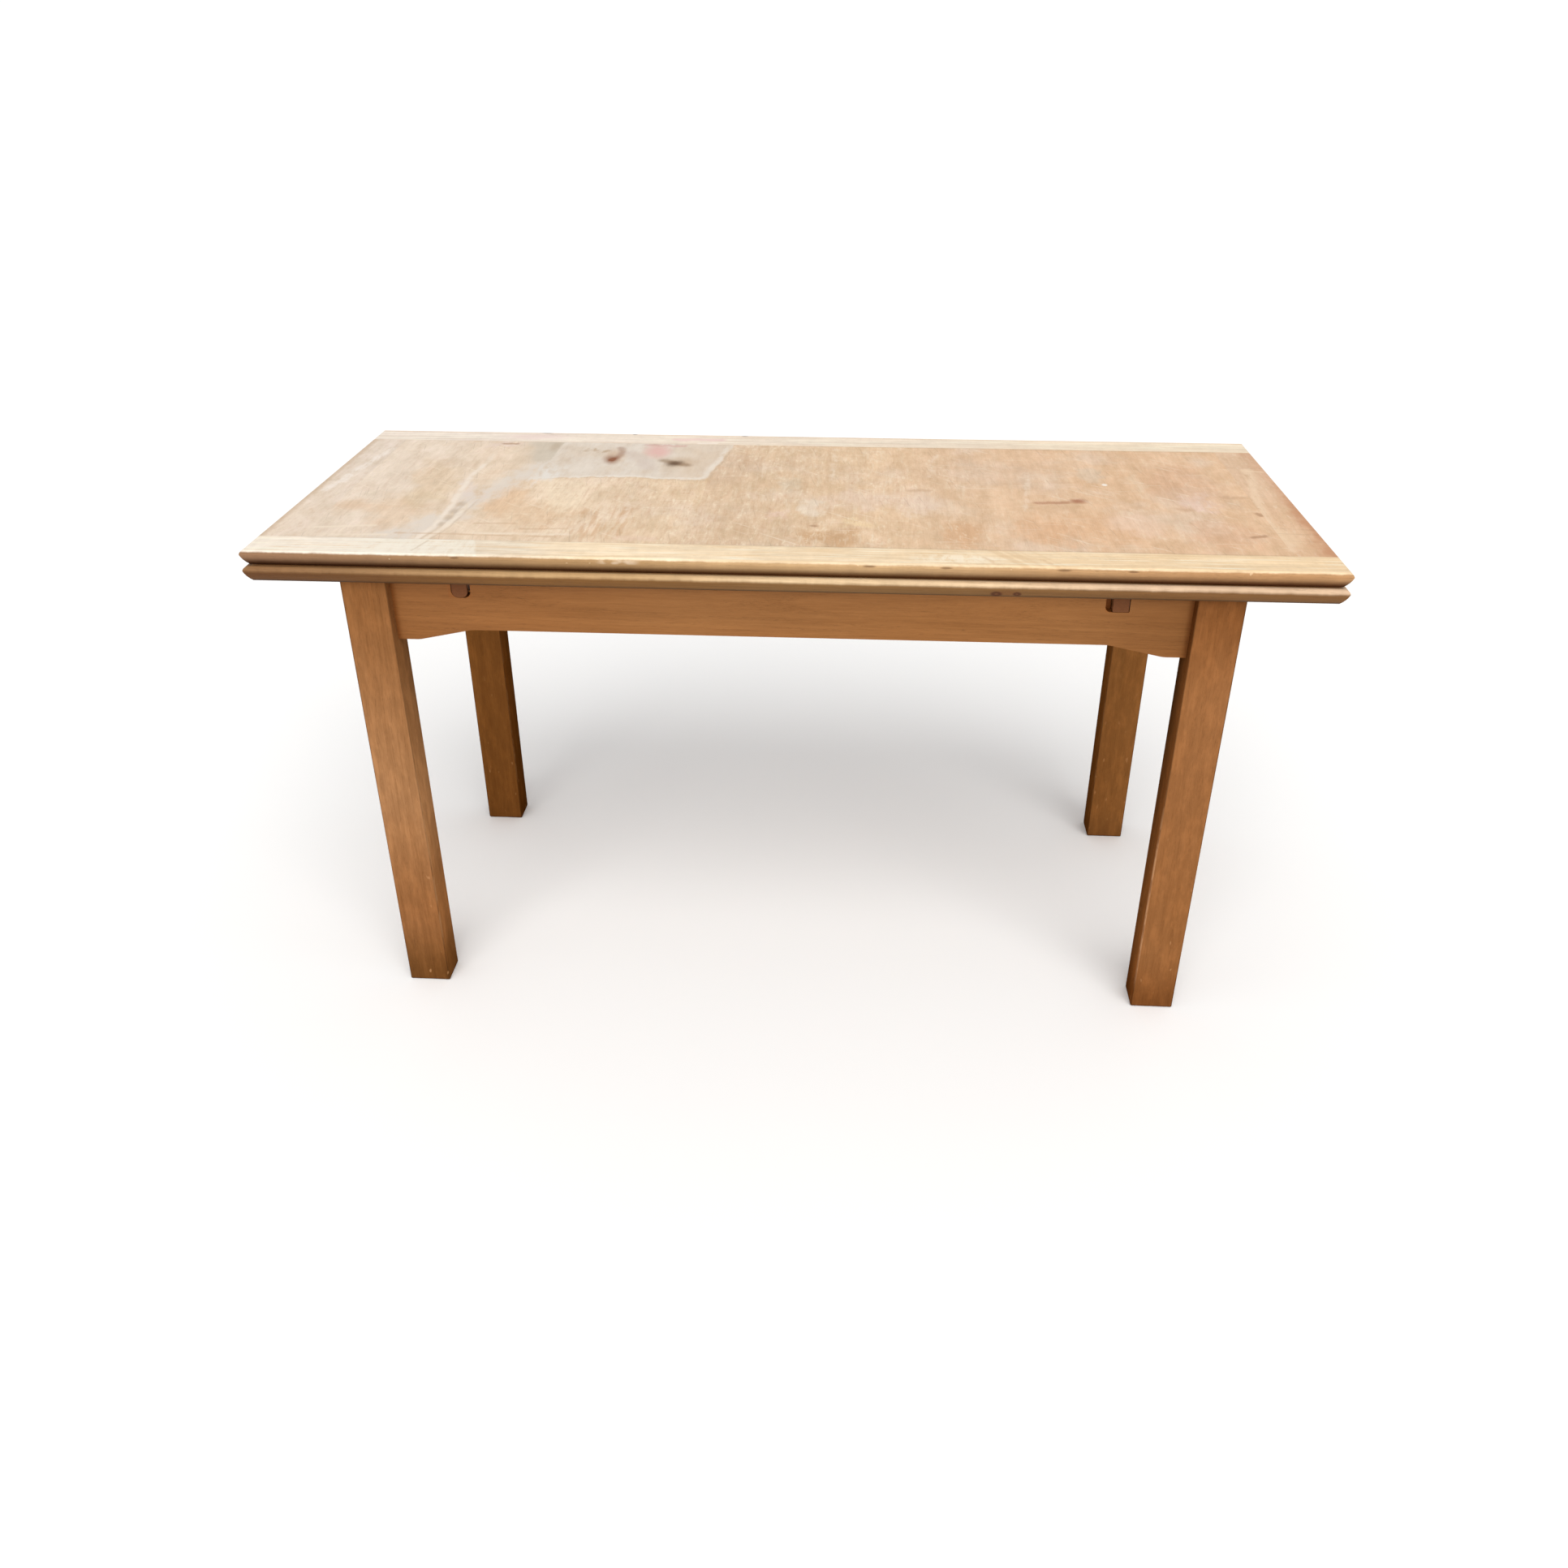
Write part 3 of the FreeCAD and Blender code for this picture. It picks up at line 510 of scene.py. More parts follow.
# ---------------------------------------------------------------- the rails round the top and the leaves
def wear_map(x, y, seed):
    big = noise(vec(x * 5.0 + seed, y * 9.0, 0.3), 4.0, 0.6)
    small = noise(vec(x * 42.0 + seed, y * 60.0, 4.3), 3.0, 0.65)
    return big, small


def top_rail_material(name, axis, seed, face_stops):
    """Bare and bleached on the face, with the finish left on the moulded edge."""

    def build():
        x, y, z = here()
        cx, cy, cz = middle(name)
        u, v, w = (x - cx, y - cy, z - cz) if axis == "x" else (y - cy, x - cx, z - cz)
        nx, ny, nz = facing()
        key = name.rsplit("_", 1)[1]
        long = axis == "x"
        oak = Oak(u, v, w, seed, pith=(0.02, -0.13), ring=0.0027, slope=(0.008, 0.012), wander=0.010, figure=0.12)
        big, small = wear_map(x, y, seed)
        m1, m2, m3, f1, f2, w1, w2 = use(WORN, x, y)
        face = ramp((x if long else y) + (big - 0.5) * 0.16, face_stops)
        if long:
            face = wood(face, oak.tone, 0.34)
            face = shade(face, 1.0 + (big - 0.5) * 0.14 + (small - 0.5) * 0.24 + (m3 - 0.5) * 0.16)
        else:
            # the wear of the panel goes on across the joint
            face = shade(face, 1.0 + (m2 - 0.5) * 0.30 + (m3 - 0.5) * 0.24)
            face = tint(face, vec(1.0, 1.0 + (m2 - 0.5) * 0.08, 1.0 + (m2 - 0.5) * 0.26 + (m3 - 0.5) * 0.12))
            face = wood(face, oak.tone, 0.24)
            face = mix(face, up(248, 230, 208), smooth(f1, 0.54, 0.70) * 0.26)
            face = mix(face, up(208, 170, 136), smooth(f1, 0.45, 0.30) * 0.22)
        face = shade(face, 1.0 - oak.pore * 0.12)
        if long:
            # long pale streaks down the grain
            k = noise(vec(x * 9.0 + seed, y * 210.0, 7.7), 2.0, 0.55)
            face = mix(face, up(255, 249, 226), smooth(k, 0.53, 0.68) * 0.60)
            face = mix(face, up(230, 194, 146) if key == "front" else up(222, 200, 178), smooth(k, 0.46, 0.32) * 0.45)
            k3 = noise(vec(x * 3.2 + seed, y * 60.0, 2.7), 2.0, 0.55)
            face = shade(face, 1.0 + (k3 - 0.5) * 0.22)
        if key == "front":
            # short marks across the grain, and a paler place beside them
            pale = smooth(oval(x, y, (0.235, -0.282), (0.075, 0.020)), 1.1, 0.4) * smooth(m3, 0.36, 0.56)
            face = mix(face, up(255, 242, 218), pale * 0.65)
            k2 = noise(vec(x * 75.0 + y * 52.0, x * 5.0 + y * 7.0, 1.7), 1.0, 0.5)
            zone = smooth(x, 0.17, 0.27) * smooth(x, 0.44, 0.31)
            face = mix(face, up(220, 186, 144), smooth(k2, 0.50, 0.72) * zone * 0.40)
            wx = x + (small - 0.5) * 0.010
            marks = low(stroke(wx, y, (0.348, -0.281), (0.366, -0.306)), stroke(wx, y, (0.270, -0.277), (0.288, -0.303)))
            face = mix(face, up(212, 172, 128), smooth(marks, 0.0056, 0.0010) * smooth(m3, 0.36, 0.58) * 0.38)
            # the smear from the panel ends on it
            gm = smooth(x + w1 * 0.012 + (y + 0.25) * 0.30, -0.4370, -0.4420) * smooth(x + w1 * 0.10, -0.66, -0.56)
            face = mix(face, up(247, 239, 223), gm * (0.20 + smooth(m3, 0.34, 0.58) * 0.55))
            hair = stroke(x + (small - 0.5) * 0.006, y, (-0.504, -0.253), (-0.515, -0.294))
            face = mix(face, up(206, 186, 162), smooth(hair, 0.0030, 0.0006) * 0.40)
            # the joint with the panel
            face = shade(face, 1.0 - smooth(y, -0.2515, -0.2487) * 0.10)
        if key == "back":
            wob = (noise(vec(x * 40.0, y * 40.0, 2.0), 2.0, 0.5) - 0.5) * 0.02
            pk = smooth(stroke(x, y + wob, (-0.222, 0.276), (-0.146, 0.278)), 0.015, 0.003)
            face = mix(face, up(238, 200, 196), pk * 0.60)
            pk2 = smooth(oval(x, y + wob, (-0.47, 0.28), (0.07, 0.024)), 1.1, 0.3)
            face = mix(face, up(240, 216, 210), pk2 * 0.55)
            face = mix(face, up(214, 176, 136), smooth(y, 0.2525, 0.2487) * (0.20 + smooth(x, 0.0, 0.5) * 0.35))
            face = mix(face, up(226, 186, 146), smooth(y, 0.2960, 0.3025) * 0.35)
            bits = low(low(oval(x, y, (-0.456, 0.3035), (0.0100, 0.0030)), oval(x, y, (-0.300, 0.3030), (0.0045, 0.0035))), oval(x, y, (-0.106, 0.3030), (0.0060, 0.0030)))
            peach = smooth(stroke(x, y + wob * 0.3, (-0.181, 0.2535), (-0.152, 0.2555)), 0.0060, 0.0015)
            face = mix(face, up(253, 240, 226), peach * 0.7)
        if key == "right":
            # redder to the outer edge and to the front
            rd = smooth(x + w1 * 0.05 + (small - 0.5) * 0.010 - y * 0.012, 0.724, 0.751)
            face = mix(face, up(204, 152, 116), rd * (0.50 + smooth(y, 0.12, -0.06) * 0.45))
            ls = path(x + (small - 0.5) * 0.004, y, ((0.722, 0.150), (0.714, 0.076), (0.698, -0.021), (0.692, -0.100), (0.693, -0.226)))
            face = mix(face, up(243, 215, 184), smooth(ls, 0.0130, 0.0020) * smooth(m3, 0.30, 0.52) * 0.60)
            pp = smooth(oval(x + w1 * 0.02, y + w2 * 0.04, (0.703, -0.172), (0.018, 0.050), 6.0), 1.2, 0.3)
            face = mix(face, up(241, 211, 177), pp * 0.60)
            lb = smooth(stroke(x + (small - 0.5) * 0.005, y, (0.715, 0.147), (0.744, 0.141)), 0.007, 0.001)
            face = mix(face, up(244, 216, 184), lb * 0.5)
        if key == "left":
            ls = low(stroke(x + (small - 0.5) * 0.008, y, (-0.700, 0.190), (-0.732, -0.036)), stroke(x + (small - 0.5) * 0.008, y, (-0.716, 0.094), (-0.721, 0.007)))
            face = mix(face, up(250, 240, 230), smooth(ls, 0.012, 0.0015) * smooth(m3, 0.36, 0.56) * 0.60)
            face = mix(face, up(205, 178, 150), smooth(x + (small - 0.5) * 0.010, -0.737, -0.748) * 0.65)
        # scratches
        sc = noise(vec(x * 14.0 + y * 220.0, y * 16.0 - x * 3.0, 3.0 + seed), 1.0, 0.5)
        face = shade(face, 1.0 - smooth(sc, 0.66, 0.74) * 0.09)
        # the moulded edge keeps its finish; painted shade darkens its undercut to near black at its foot
        run = x if long else y
        edge = ramp(x + (big - 0.5) * 0.2, ((-0.72, srgb(137, 103, 75)), (-0.28, srgb(160, 126, 86)), (0.12, srgb(184, 150, 109)), (0.62, srgb(176, 134, 92))))
        edge = wood(edge, oak.tone, 0.5)
        edge = shade(edge, 1.0 - oak.pore * 0.14)
        edge = shade(edge, 1.06 + (small - 0.5) * 0.25)
        # painted shade in the undercut
        foot = smooth(z + (small - 0.5) * 0.0014, 0.7535, 0.7392)
        edge = tint(edge, mix((1.0, 1.0, 1.0), (0.15, 0.08, 0.03), foot))
        off = smooth(z + (small - 0.5) * 0.0026 + (big - 0.5) * 0.0012, 0.7592, 0.7568)
        past = smooth(magnitude(x), 0.7400, 0.7440)
        if long:
            past = clamp01(past + smooth(magnitude(y), 0.2960, 0.3000))
        side = smooth(magnitude(x), 0.7465, 0.7490)
        if long:
            side = clamp01(side + smooth(magnitude(y), 0.3025, 0.3050))
        # above the nose only what lies beyond the flat face, below it the whole undercut
        col = mix(face, edge, off * mix_number(past, side, smooth(z, 0.7530, 0.7560)))
        # chips on the arris
        chip = noise(vec(run * 130.0 + seed, z * 110.0, 2.2), 1.0, 0.5)
        band = smooth(z, 0.7505, 0.7530) * smooth(z, 0.7596, 0.7578) * side
        chips = smooth(chip, 0.72, 0.78) * band
        col = mix(col, srgb(226, 198, 160), chips * 0.5)
        if key == "front":
            spot = smooth(magnitude(x + 0.226), 0.034, 0.014) * smooth(noise(vec(x * 90.0, z * 120.0, 8.0), 1.0, 0.5), 0.36, 0.72) * band * 0.7
            col = mix(col, srgb(226, 206, 182), spot * 0.70)
            nick = None
            for place, size in ((0.115, 0.011), (0.218, 0.010), (0.375, 0.012), (0.466, 0.009), (-0.452, 0.008)):
                d = oval(x, z, (place, 0.7562), (size, 0.0017))
                nick = d if nick is None else low(nick, d)
            col = mix(col, srgb(98, 66, 38), smooth(nick, 1.1, 0.4) * side * 0.65)
        # underside: plain brown wood
        below = smooth(nz, -0.80, -0.97)
        col = mix(col, wood(srgb(146, 106, 68), oak.tone, 0.8), below)
        col = mix(col, srgb(84, 52, 26), smooth(bits, 1.3, 0.5) * 0.6) if key == "back" else col
        bare = 1.0 - off * side
        rough = 0.46 + bare * 0.16 + (small - 0.5) * 0.12 + oak.pore * 0.1
        finish(col, rough, oak.height - chips * 0.4, 0.00026, spec=0.14)

    return material(name, build)


def mix_number(a, b, f):
    return a + (b - a) * f


def leaf_rail_material(name, axis, seed, hidden=False):
    def build():
        x, y, z = here()
        cx, cy, cz = middle(name)
        u, v, w = (x - cx, y - cy, z - cz) if axis == "x" else (y - cy, x - cx, z - cz)
        nx, ny, nz = facing()
        oak = Oak(u, v, w, seed, pith=(0.02, -0.12), ring=0.0029, slope=(0.008, 0.012), wander=0.010, figure=0.35)
        big, small = wear_map(x, y, seed)
        face = wood(srgb(178, 126, 78), oak.tone, 1.0)
        face = shade(face, 0.97 + (big - 0.5) * 0.14)
        face = shade(face, 1.0 - oak.pore * 0.30)
        # the edge shows beyond the top, paler to the right; its rounded upper half is painted light and its undercut
        # lower half painted in shade
        along = x + (big - 0.5) * 0.22
        hi = ramp(along, ((-0.72, srgb(134, 98, 64)), (-0.30, srgb(176, 142, 100)), (0.06, srgb(210, 182, 144)), (0.52, srgb(206, 176, 146))))
        lo = ramp(along, ((-0.72, srgb(98, 62, 30)), (-0.30, srgb(118, 80, 40)), (0.10, srgb(126, 91, 52)), (0.60, srgb(122, 84, 46))))
        hi = shade(wood(hi, oak.tone, 0.40), 1.0 + (small - 0.5) * 0.45)
        lo = wood(lo, oak.tone, 0.55)
        edge = mix(hi, lo, smooth(z + (small - 0.5) * 0.003, 0.7332, 0.7272))
        # painted shade towards the bottom of the edge
        edge = shade(edge, 1.0 - smooth(z, 0.7190, 0.7145) * 0.35)
        edge = shade(edge, 1.0 - oak.pore * 0.16)
        # the groove of shadow and dust where the top's foot rests
        inside = smooth(magnitude(x), 0.7475, 0.7445)
        if "outer" in name:
            inside = inside * smooth(magnitude(y), 0.3035, 0.3005)
        edge = shade(edge, 1.0 - inside * 0.5)
        if "outer" in name:
            out = clamp01(smooth(magnitude(y), 0.2990, 0.3015) + smooth(magnitude(x), 0.7430, 0.7455))
        else:
            out = smooth(magnitude(x), 0.7430, 0.7455)
        if hidden:
            out = smooth(magnitude(x), 0.7450, 0.7475)
        col = mix(face, edge, out)
        if name == "front_leaf_outer_rail":
            # two small knots in the edge
            wx = x + (small - 0.5) * 0.006
            kn = low(oval(wx, z, (0.288, 0.7190), (0.0078, 0.0046)), oval(wx, z, (0.316, 0.7195), (0.0060, 0.0038)))
            halo = oval(wx, z, (0.301, 0.7210), (0.026, 0.0065))
            col = mix(col, srgb(116, 70, 34), smooth(halo, 1.1, 0.3) * 0.45)
            col = mix(col, srgb(70, 34, 14), smooth(kn, 1.3, 0.60) * 0.85)
            col = mix(col, srgb(120, 76, 42), smooth(kn, 0.50, 0.15) * 0.5)
        below = smooth(nz, -0.75, -0.95)
        col = mix(col, wood(srgb(142, 102, 64), oak.tone, 0.9), below)
        rough = 0.44 + (small - 0.5) * 0.12 + oak.pore * 0.1 + out * 0.08
        finish(col, rough, oak.height, 0.00028, spec=0.14)

    return material(name, build)


# ---------------------------------------------------------------- veneered panels
def top_panel_material(name):
    def build():
        x, y, z = here()
        nx, ny, nz = facing()
        m1, m2, m3, f1, f2, w1, w2 = use(WORN, x, y)
        xa, ya = x + w1 * 0.085 + (m3 - 0.5) * 0.020, y + w2 * 0.160 + (m3 - 0.5) * 0.050
        xf, yf = x + w1 * 0.016 + (m3 - 0.5) * 0.008, y + w2 * 0.030 + (m3 - 0.5) * 0.020
        xs, ys = x + (m3 - 0.5) * 0.005, y + (m3 - 0.5) * 0.009
        # grain runs from front to back
        oak = Oak(y, x, z * 0.2, 4.0, pith=(-0.22, -0.16), ring=0.0030, slope=(0.0, 0.05), wander=0.020, figure=0.06)
        base = ramp(x + (m1 - 0.5) * 0.22, ((-0.64, up(233, 216, 200)), (-0.40, up(231, 208, 184)), (-0.10, up(226, 198, 167)), (0.46, up(227, 191, 158))))
        # sheets of veneer that faded differently
        split = smooth(x + (y - 0.06) * 0.02 + 0.144, -0.0012, 0.0012)
        base = tint(base, mix((1.03, 1.02, 0.98), (0.975, 0.955, 0.93), split * smooth(x, 0.10, -0.10)))
        base = tint(base, mix((1.0, 1.0, 1.0), (0.98, 0.985, 1.0), smooth(magnitude(x - 0.30), 0.13, 0.10)))
        # cloudy wear, large to small
        base = mix(base, up(231, 209, 188), smooth(m1, 0.46, 0.68) * 0.55)
        base = mix(base, up(222, 182, 142), smooth(m1, 0.44, 0.26) * 0.45)
        base = shade(base, 1.0 + (m2 - 0.5) * 0.50 + (m3 - 0.5) * 0.26)
        base = tint(base, vec(1.0, 1.0 + (m2 - 0.5) * 0.08, 1.0 + (m2 - 0.5) * 0.26 + (m3 - 0.5) * 0.12))
        # warmer where the old finish is left
        for centre, radii, turn, amount, tone_ in (
            ((-0.572, 0.030), (0.044, 0.105), 14.0, 0.60, up(226, 200, 168)),
            ((-0.594, -0.120), (0.052, 0.075), 18.0, 0.50, up(231, 200, 168)),
            ((-0.570, -0.060), (0.040, 0.044), 16.0, 0.50, up(222, 198, 164)),
            ((-0.436, -0.072), (0.032, 0.105), 4.0, 0.80, up(229, 195, 160)),
            ((-0.364, -0.118), (0.064, 0.085), -20.0, 0.65, up(228, 195, 160)),
            ((0.060, -0.205), (0.050, 0.045), 8.0, 0.60, up(200, 156, 112)),
            ((0.247, -0.183), (0.032, 0.062), 0.0, 0.55, up(216, 168, 124)),
            ((0.430, -0.150), (0.100, 0.070), 0.0, 0.55, up(229, 184, 144)),
            ((0.300, 0.120), (0.130, 0.090), 0.0, 0.30, up(216, 184, 156)),
            ((0.600, 0.060), (0.070, 0.120), 0.0, 0.45, up(220, 176, 144)),
            ((0.372, -0.168), (0.048, 0.062), 0.0, 0.50, up(224, 178, 138)),
            ((-0.112, 0.122), (0.052, 0.080), 0.0, 0.50, up(214, 186, 160)),
            ((0.620, -0.170), (0.070, 0.060), 0.0, 0.45, up(226, 178, 142)),
        ):
            f = smooth(oval(xa, ya, centre, radii, turn), 1.2, 0.45)
            base = mix(base, shade(tone_, 1.0 + (m2 - 0.5) * 0.30 + (m3 - 0.5) * 0.30), f * amount)
        # where it is worn pale
        for centre, radii, turn, amount, tone_ in (
            ((-0.350, -0.050), (0.040, 0.090), 20.0, 0.72, up(243, 223, 195)),
            ((0.210, -0.068), (0.062, 0.042), 0.0, 0.45, up(238, 214, 190)),
            ((0.030, -0.088), (0.022, 0.050), 12.0, 0.60, up(240, 226, 208)),
            ((0.105, -0.038), (0.085, 0.048), 12.0, 0.50, up(233, 208, 190)),
            ((0.190, -0.048), (0.034, 0.060), -12.0, 0.40, up(233, 210, 194)),
            ((0.096, -0.142), (0.028, 0.022), 0.0, 0.60, up(242, 214, 170)),
            ((-0.018, 0.030), (0.028, 0.045), 0.0, 0.50, up(216, 202, 180)),
            ((-0.022, -0.112), (0.016, 0.030), 0.0, 0.50, up(236, 204, 188)),
            ((0.612, -0.036), (0.020, 0.048), 12.0, 0.60, up(238, 210, 196)),
            ((0.504, -0.134), (0.046, 0.050), 30.0, 0.75, up(241, 209, 183)),
            ((0.528, 0.060), (0.016, 0.060), 0.0, 0.40, up(234, 210, 182)),
            ((0.466, 0.116), (0.018, 0.050), 0.0, 0.40, up(214, 198, 176)),
            ((-0.650, 0.060), (0.040, 0.150), 14.0, 0.45, up(235, 218, 200)),
        ):
            f = smooth(oval(xa, ya, centre, radii, turn), 1.25, 0.35)
            base = mix(base, shade(tone_, 1.0 + (m3 - 0.5) * 0.30), f * amount)
        # grain and its flecks
        col = wood(base, oak.tone, 0.26)
        lively = (smooth(m1, 0.30, 0.62) * 0.5 + 0.5) * (0.42 + smooth(x, -0.46, -0.36) * smooth(x, 0.36, 0.10) * 0.58)
        col = mix(col, up(249, 231, 202), smooth(f1, 0.53, 0.72) * smooth(m2, 0.32, 0.62) * lively * 0.70)
        col = mix(col, up(204, 162, 124), smooth(f1, 0.46, 0.28) * lively * 0.34)
        col = mix(col, up(245, 226, 200), smooth(f2, 0.56, 0.72) * lively * 0.40)
        col = mix(col, up(205, 168, 134), smooth(f2, 0.44, 0.30) * lively * 0.36)
        col = shade(col, 1.0 - oak.pore * 0.10)
        # brown streaks of grain in front of the pale place
        bs = smooth(oval(xa, ya, (-0.272, -0.165), (0.060, 0.085), -10.0), 1.15, 0.5)
        col = mix(col, up(208, 160, 114), bs * smooth(f2, 0.56, 0.40) * 0.36)
        # scratches: across, along and aslant
        s1 = noise(vec(x * 9.0 + y * 30.0, y * 330.0 - x * 12.0, 3.0), 1.0, 0.5)
        s2 = noise(vec(x * 300.0 + y * 60.0, y * 11.0, 8.0), 1.0, 0.5)
        s3 = noise(vec(x * 120.0 + y * 150.0, y * 7.0 - x * 8.0, 12.0), 1.0, 0.5)
        col = mix(col, up(250, 234, 212), smooth(s1, 0.66, 0.73) * 0.35)
        col = mix(col, up(250, 234, 212), smooth(s3, 0.66, 0.73) * 0.35)
        col = shade(col, 1.0 - smooth(s2, 0.66, 0.74) * 0.12)
        wob = (noise(vec(y * 30.0, x * 10.0, 5.0), 2.0, 0.5) - 0.5) * 0.006
        gap = smooth(noise(vec(x * 20.0, y * 36.0, 3.0), 3.0, 0.6), 0.32, 0.52)
        long_lines = low(
            low(stroke(x + wob, y, (-0.027, 0.240), (-0.024, 0.178)), stroke(x + wob, y, (0.055, 0.229), (0.056, 0.041))),
            low(stroke(x + wob, y, (0.223, 0.207), (0.208, 0.077)), stroke(x + wob, y, (0.366, 0.119), (0.347, -0.076))),
        )
        long_lines = low(long_lines, stroke(x + wob, y, (-0.259, 0.033), (-0.244, -0.161)))
        col = mix(col, up(243, 226, 206), smooth(long_lines, 0.0090, 0.0010) * gap * smooth(m3, 0.40, 0.60) * 0.40)
        # the grey-white patch along the back, with one round corner
        yl = 0.055 - power(magnitude(x + 0.280), 2.0) * 0.9
        xr = (y - 0.07) * 0.13 - 0.144
        rr = 0.030
        qa = high(xf - xr + rr, 0.0)
        qb = high(yl - yf + rr, 0.0)
        d = root(qa * qa + qb * qb) - rr
        begin = smooth(x + (m1 - 0.5) * 0.06 + (y - 0.14) * 0.21, -0.452, -0.436)
        soft = smooth(x + (m1 - 0.5) * 0.10 - (y - 0.05) * 0.15, -0.520, -0.425)
        patch = smooth(d, 0.0035, -0.0025) * mix_number(soft, begin, 0.35)
        grey = mix(up(216, 203, 188), up(233, 223, 211), clamp01(m2 * 1.1 + (oak.tone - 0.5) * 0.30 + (m1 - 0.5) * 0.6 + (m3 - 0.5) * 0.5 - 0.05))
        grey = mix(grey, up(224, 205, 184), smooth(x + (m2 - 0.5) * 0.08, -0.235, -0.170) * 0.7)
        col = mix(col, shade(grey, 1.0 + (m2 - 0.5) * 0.20 + (f2 - 0.5) * 0.16), patch * (0.66 + smooth(m2, 0.36, 0.60) * 0.26))
        rim = smooth(magnitude(d + 0.005), 0.008, 0.001) * soft * smooth(x, -0.46, -0.36)
        col = mix(col, up(241, 231, 218), rim * smooth(m2, 0.30, 0.55) * 0.60)
        line = smooth(magnitude(d - 0.0040), 0.0035, 0.0008) * begin * gap
        col = mix(col, up(200, 178, 152), line * smooth(m3, 0.34, 0.54) * 0.50)
        # brown-grey to the left in it, ending on a straight line
        e = smooth(xf, -0.4130, -0.4180) * smooth(xa + (y - 0.14) * 0.16, -0.485, -0.430) * smooth(ya, 0.105, 0.160)
        col = mix(col, shade(up(206, 193, 174), 1.0 + (m3 - 0.5) * 0.3), e * smooth(m2, 0.24, 0.48) * 0.75)
        ed = smooth(oval(xs, ys, (-0.4245, 0.2220), (0.0100, 0.0330)), 1.3, 0.2)
        col = mix(col, up(186, 165, 140), ed * 0.50)
        # a cloudy white blotch, and the smear that runs from it to the front
        bl = smooth(stroke(xa, ya, (-0.412, 0.112), (-0.398, 0.040)), 0.036, 0.004)
        col = mix(col, up(234, 227, 218), bl * smooth(m3 + (m2 - 0.5) * 0.6, 0.34, 0.60) * 0.85)
        sm = path(xa, ya, ((-0.430, 0.110), (-0.452, 0.020), (-0.482, -0.050), (-0.500, -0.130), (-0.545, -0.222), (-0.580, -0.236)))
        sm = smooth(sm, 0.040, 0.004) * smooth(m2 + (m3 - 0.5) * 0.6, 0.30, 0.56)
        col = mix(col, up(227, 216, 204), sm * 0.80)
        lil = smooth(stroke(xa, ya, (-0.520, 0.010), (-0.486, -0.062)), 0.022, 0.004)
        col = mix(col, up(229, 214, 204), lil * smooth(m2, 0.32, 0.54) * 0.55)
        # two long pale lines side by side near the left end, dark specks between them, and short lines near the front
        pale = path(x + wob, y, ((-0.521, 0.235), (-0.517, 0.129), (-0.524, 0.056), (-0.521, -0.006), (-0.514, -0.114), (-0.513, -0.190), (-0.523, -0.246)))
        pale2 = path(x - wob, y, ((-0.485, -0.040), (-0.492, -0.124), (-0.496, -0.190), (-0.510, -0.248)))
        fade = smooth(y, 0.225, 0.080) * (0.35 + gap * 0.65)
        col = mix(col, up(245, 231, 215), smooth(pale, 0.0078, 0.0010) * fade * 0.90)
        col = mix(col, up(245, 231, 213), smooth(pale2, 0.0066, 0.0010) * smooth(y, -0.06, -0.13) * (0.35 + gap * 0.65) * 0.78)
        dark = smooth(magnitude(pale2 - 0.0070), 0.0026, 0.0006) * smooth(y, -0.05, -0.10)
        col = mix(col, up(206, 188, 168), dark * gap * 0.40)
        sp = low(
            low(oval(xs, ys, (-0.502, -0.092), (0.0065, 0.0140)), oval(xs, ys, (-0.503, -0.126), (0.0080, 0.0130))),
            low(oval(xs, ys, (-0.503, -0.156), (0.0070, 0.0125)), oval(xs, ys, (-0.507, -0.184), (0.0050, 0.0110))),
        )
        col = mix(col, up(190, 170, 148), smooth(sp, 1.5, 0.2) * 0.55)
        fl = low(low(stroke(x, y + wob, (-0.684, -0.207), (-0.601, -0.195)), stroke(x, y - wob, (-0.669, -0.237), (-0.573, -0.232))), stroke(x, y - wob, (-0.448, -0.219), (-0.316, -0.217)))
        col = mix(col, up(246, 230, 208), smooth(fl, 0.0070, 0.0010) * (0.20 + gap * 0.40))
        fd = low(stroke(x, y + wob, (-0.458, -0.179), (-0.400, -0.175)), stroke(x, y + wob, (-0.386, -0.198), (-0.320, -0.194)))
        fd = low(fd, stroke(x, y - wob, (-0.560, -0.2235), (-0.330, -0.2285)))
        col = mix(col, up(202, 166, 130), smooth(fd, 0.0050, 0.0008) * gap * 0.42)
        # pink stains
        pk = smooth(oval(xf, ys, (-0.246, 0.202), (0.025, 0.046), 4.0), 1.25, 0.25) * smooth(m2, 0.24, 0.46)
        col = mix(col, up(230, 181, 173), pk * 0.78)
        pk2 = smooth(stroke(xf, yf, (-0.268, 0.240), (-0.204, 0.240)), 0.0085, 0.0015)
        col = mix(col, up(212, 166, 156), pk2 * 0.55)
        pk3 = smooth(oval(xa, ya, (-0.515, 0.235), (0.045, 0.026)), 1.1, 0.3)
        col = mix(col, up(234, 214, 205), pk3 * 0.45)
        mauve = smooth(path(xf, yf, ((-0.290, 0.185), (-0.264, 0.150), (-0.246, 0.112))), 0.022, 0.004)
        col = mix(col, up(215, 199, 188), mauve * 0.55)
        ro = smooth(stroke(xf, yf, (-0.240, -0.227), (-0.192, -0.227)), 0.012, 0.003)
        col = mix(col, up(236, 204, 184), ro * 0.35)
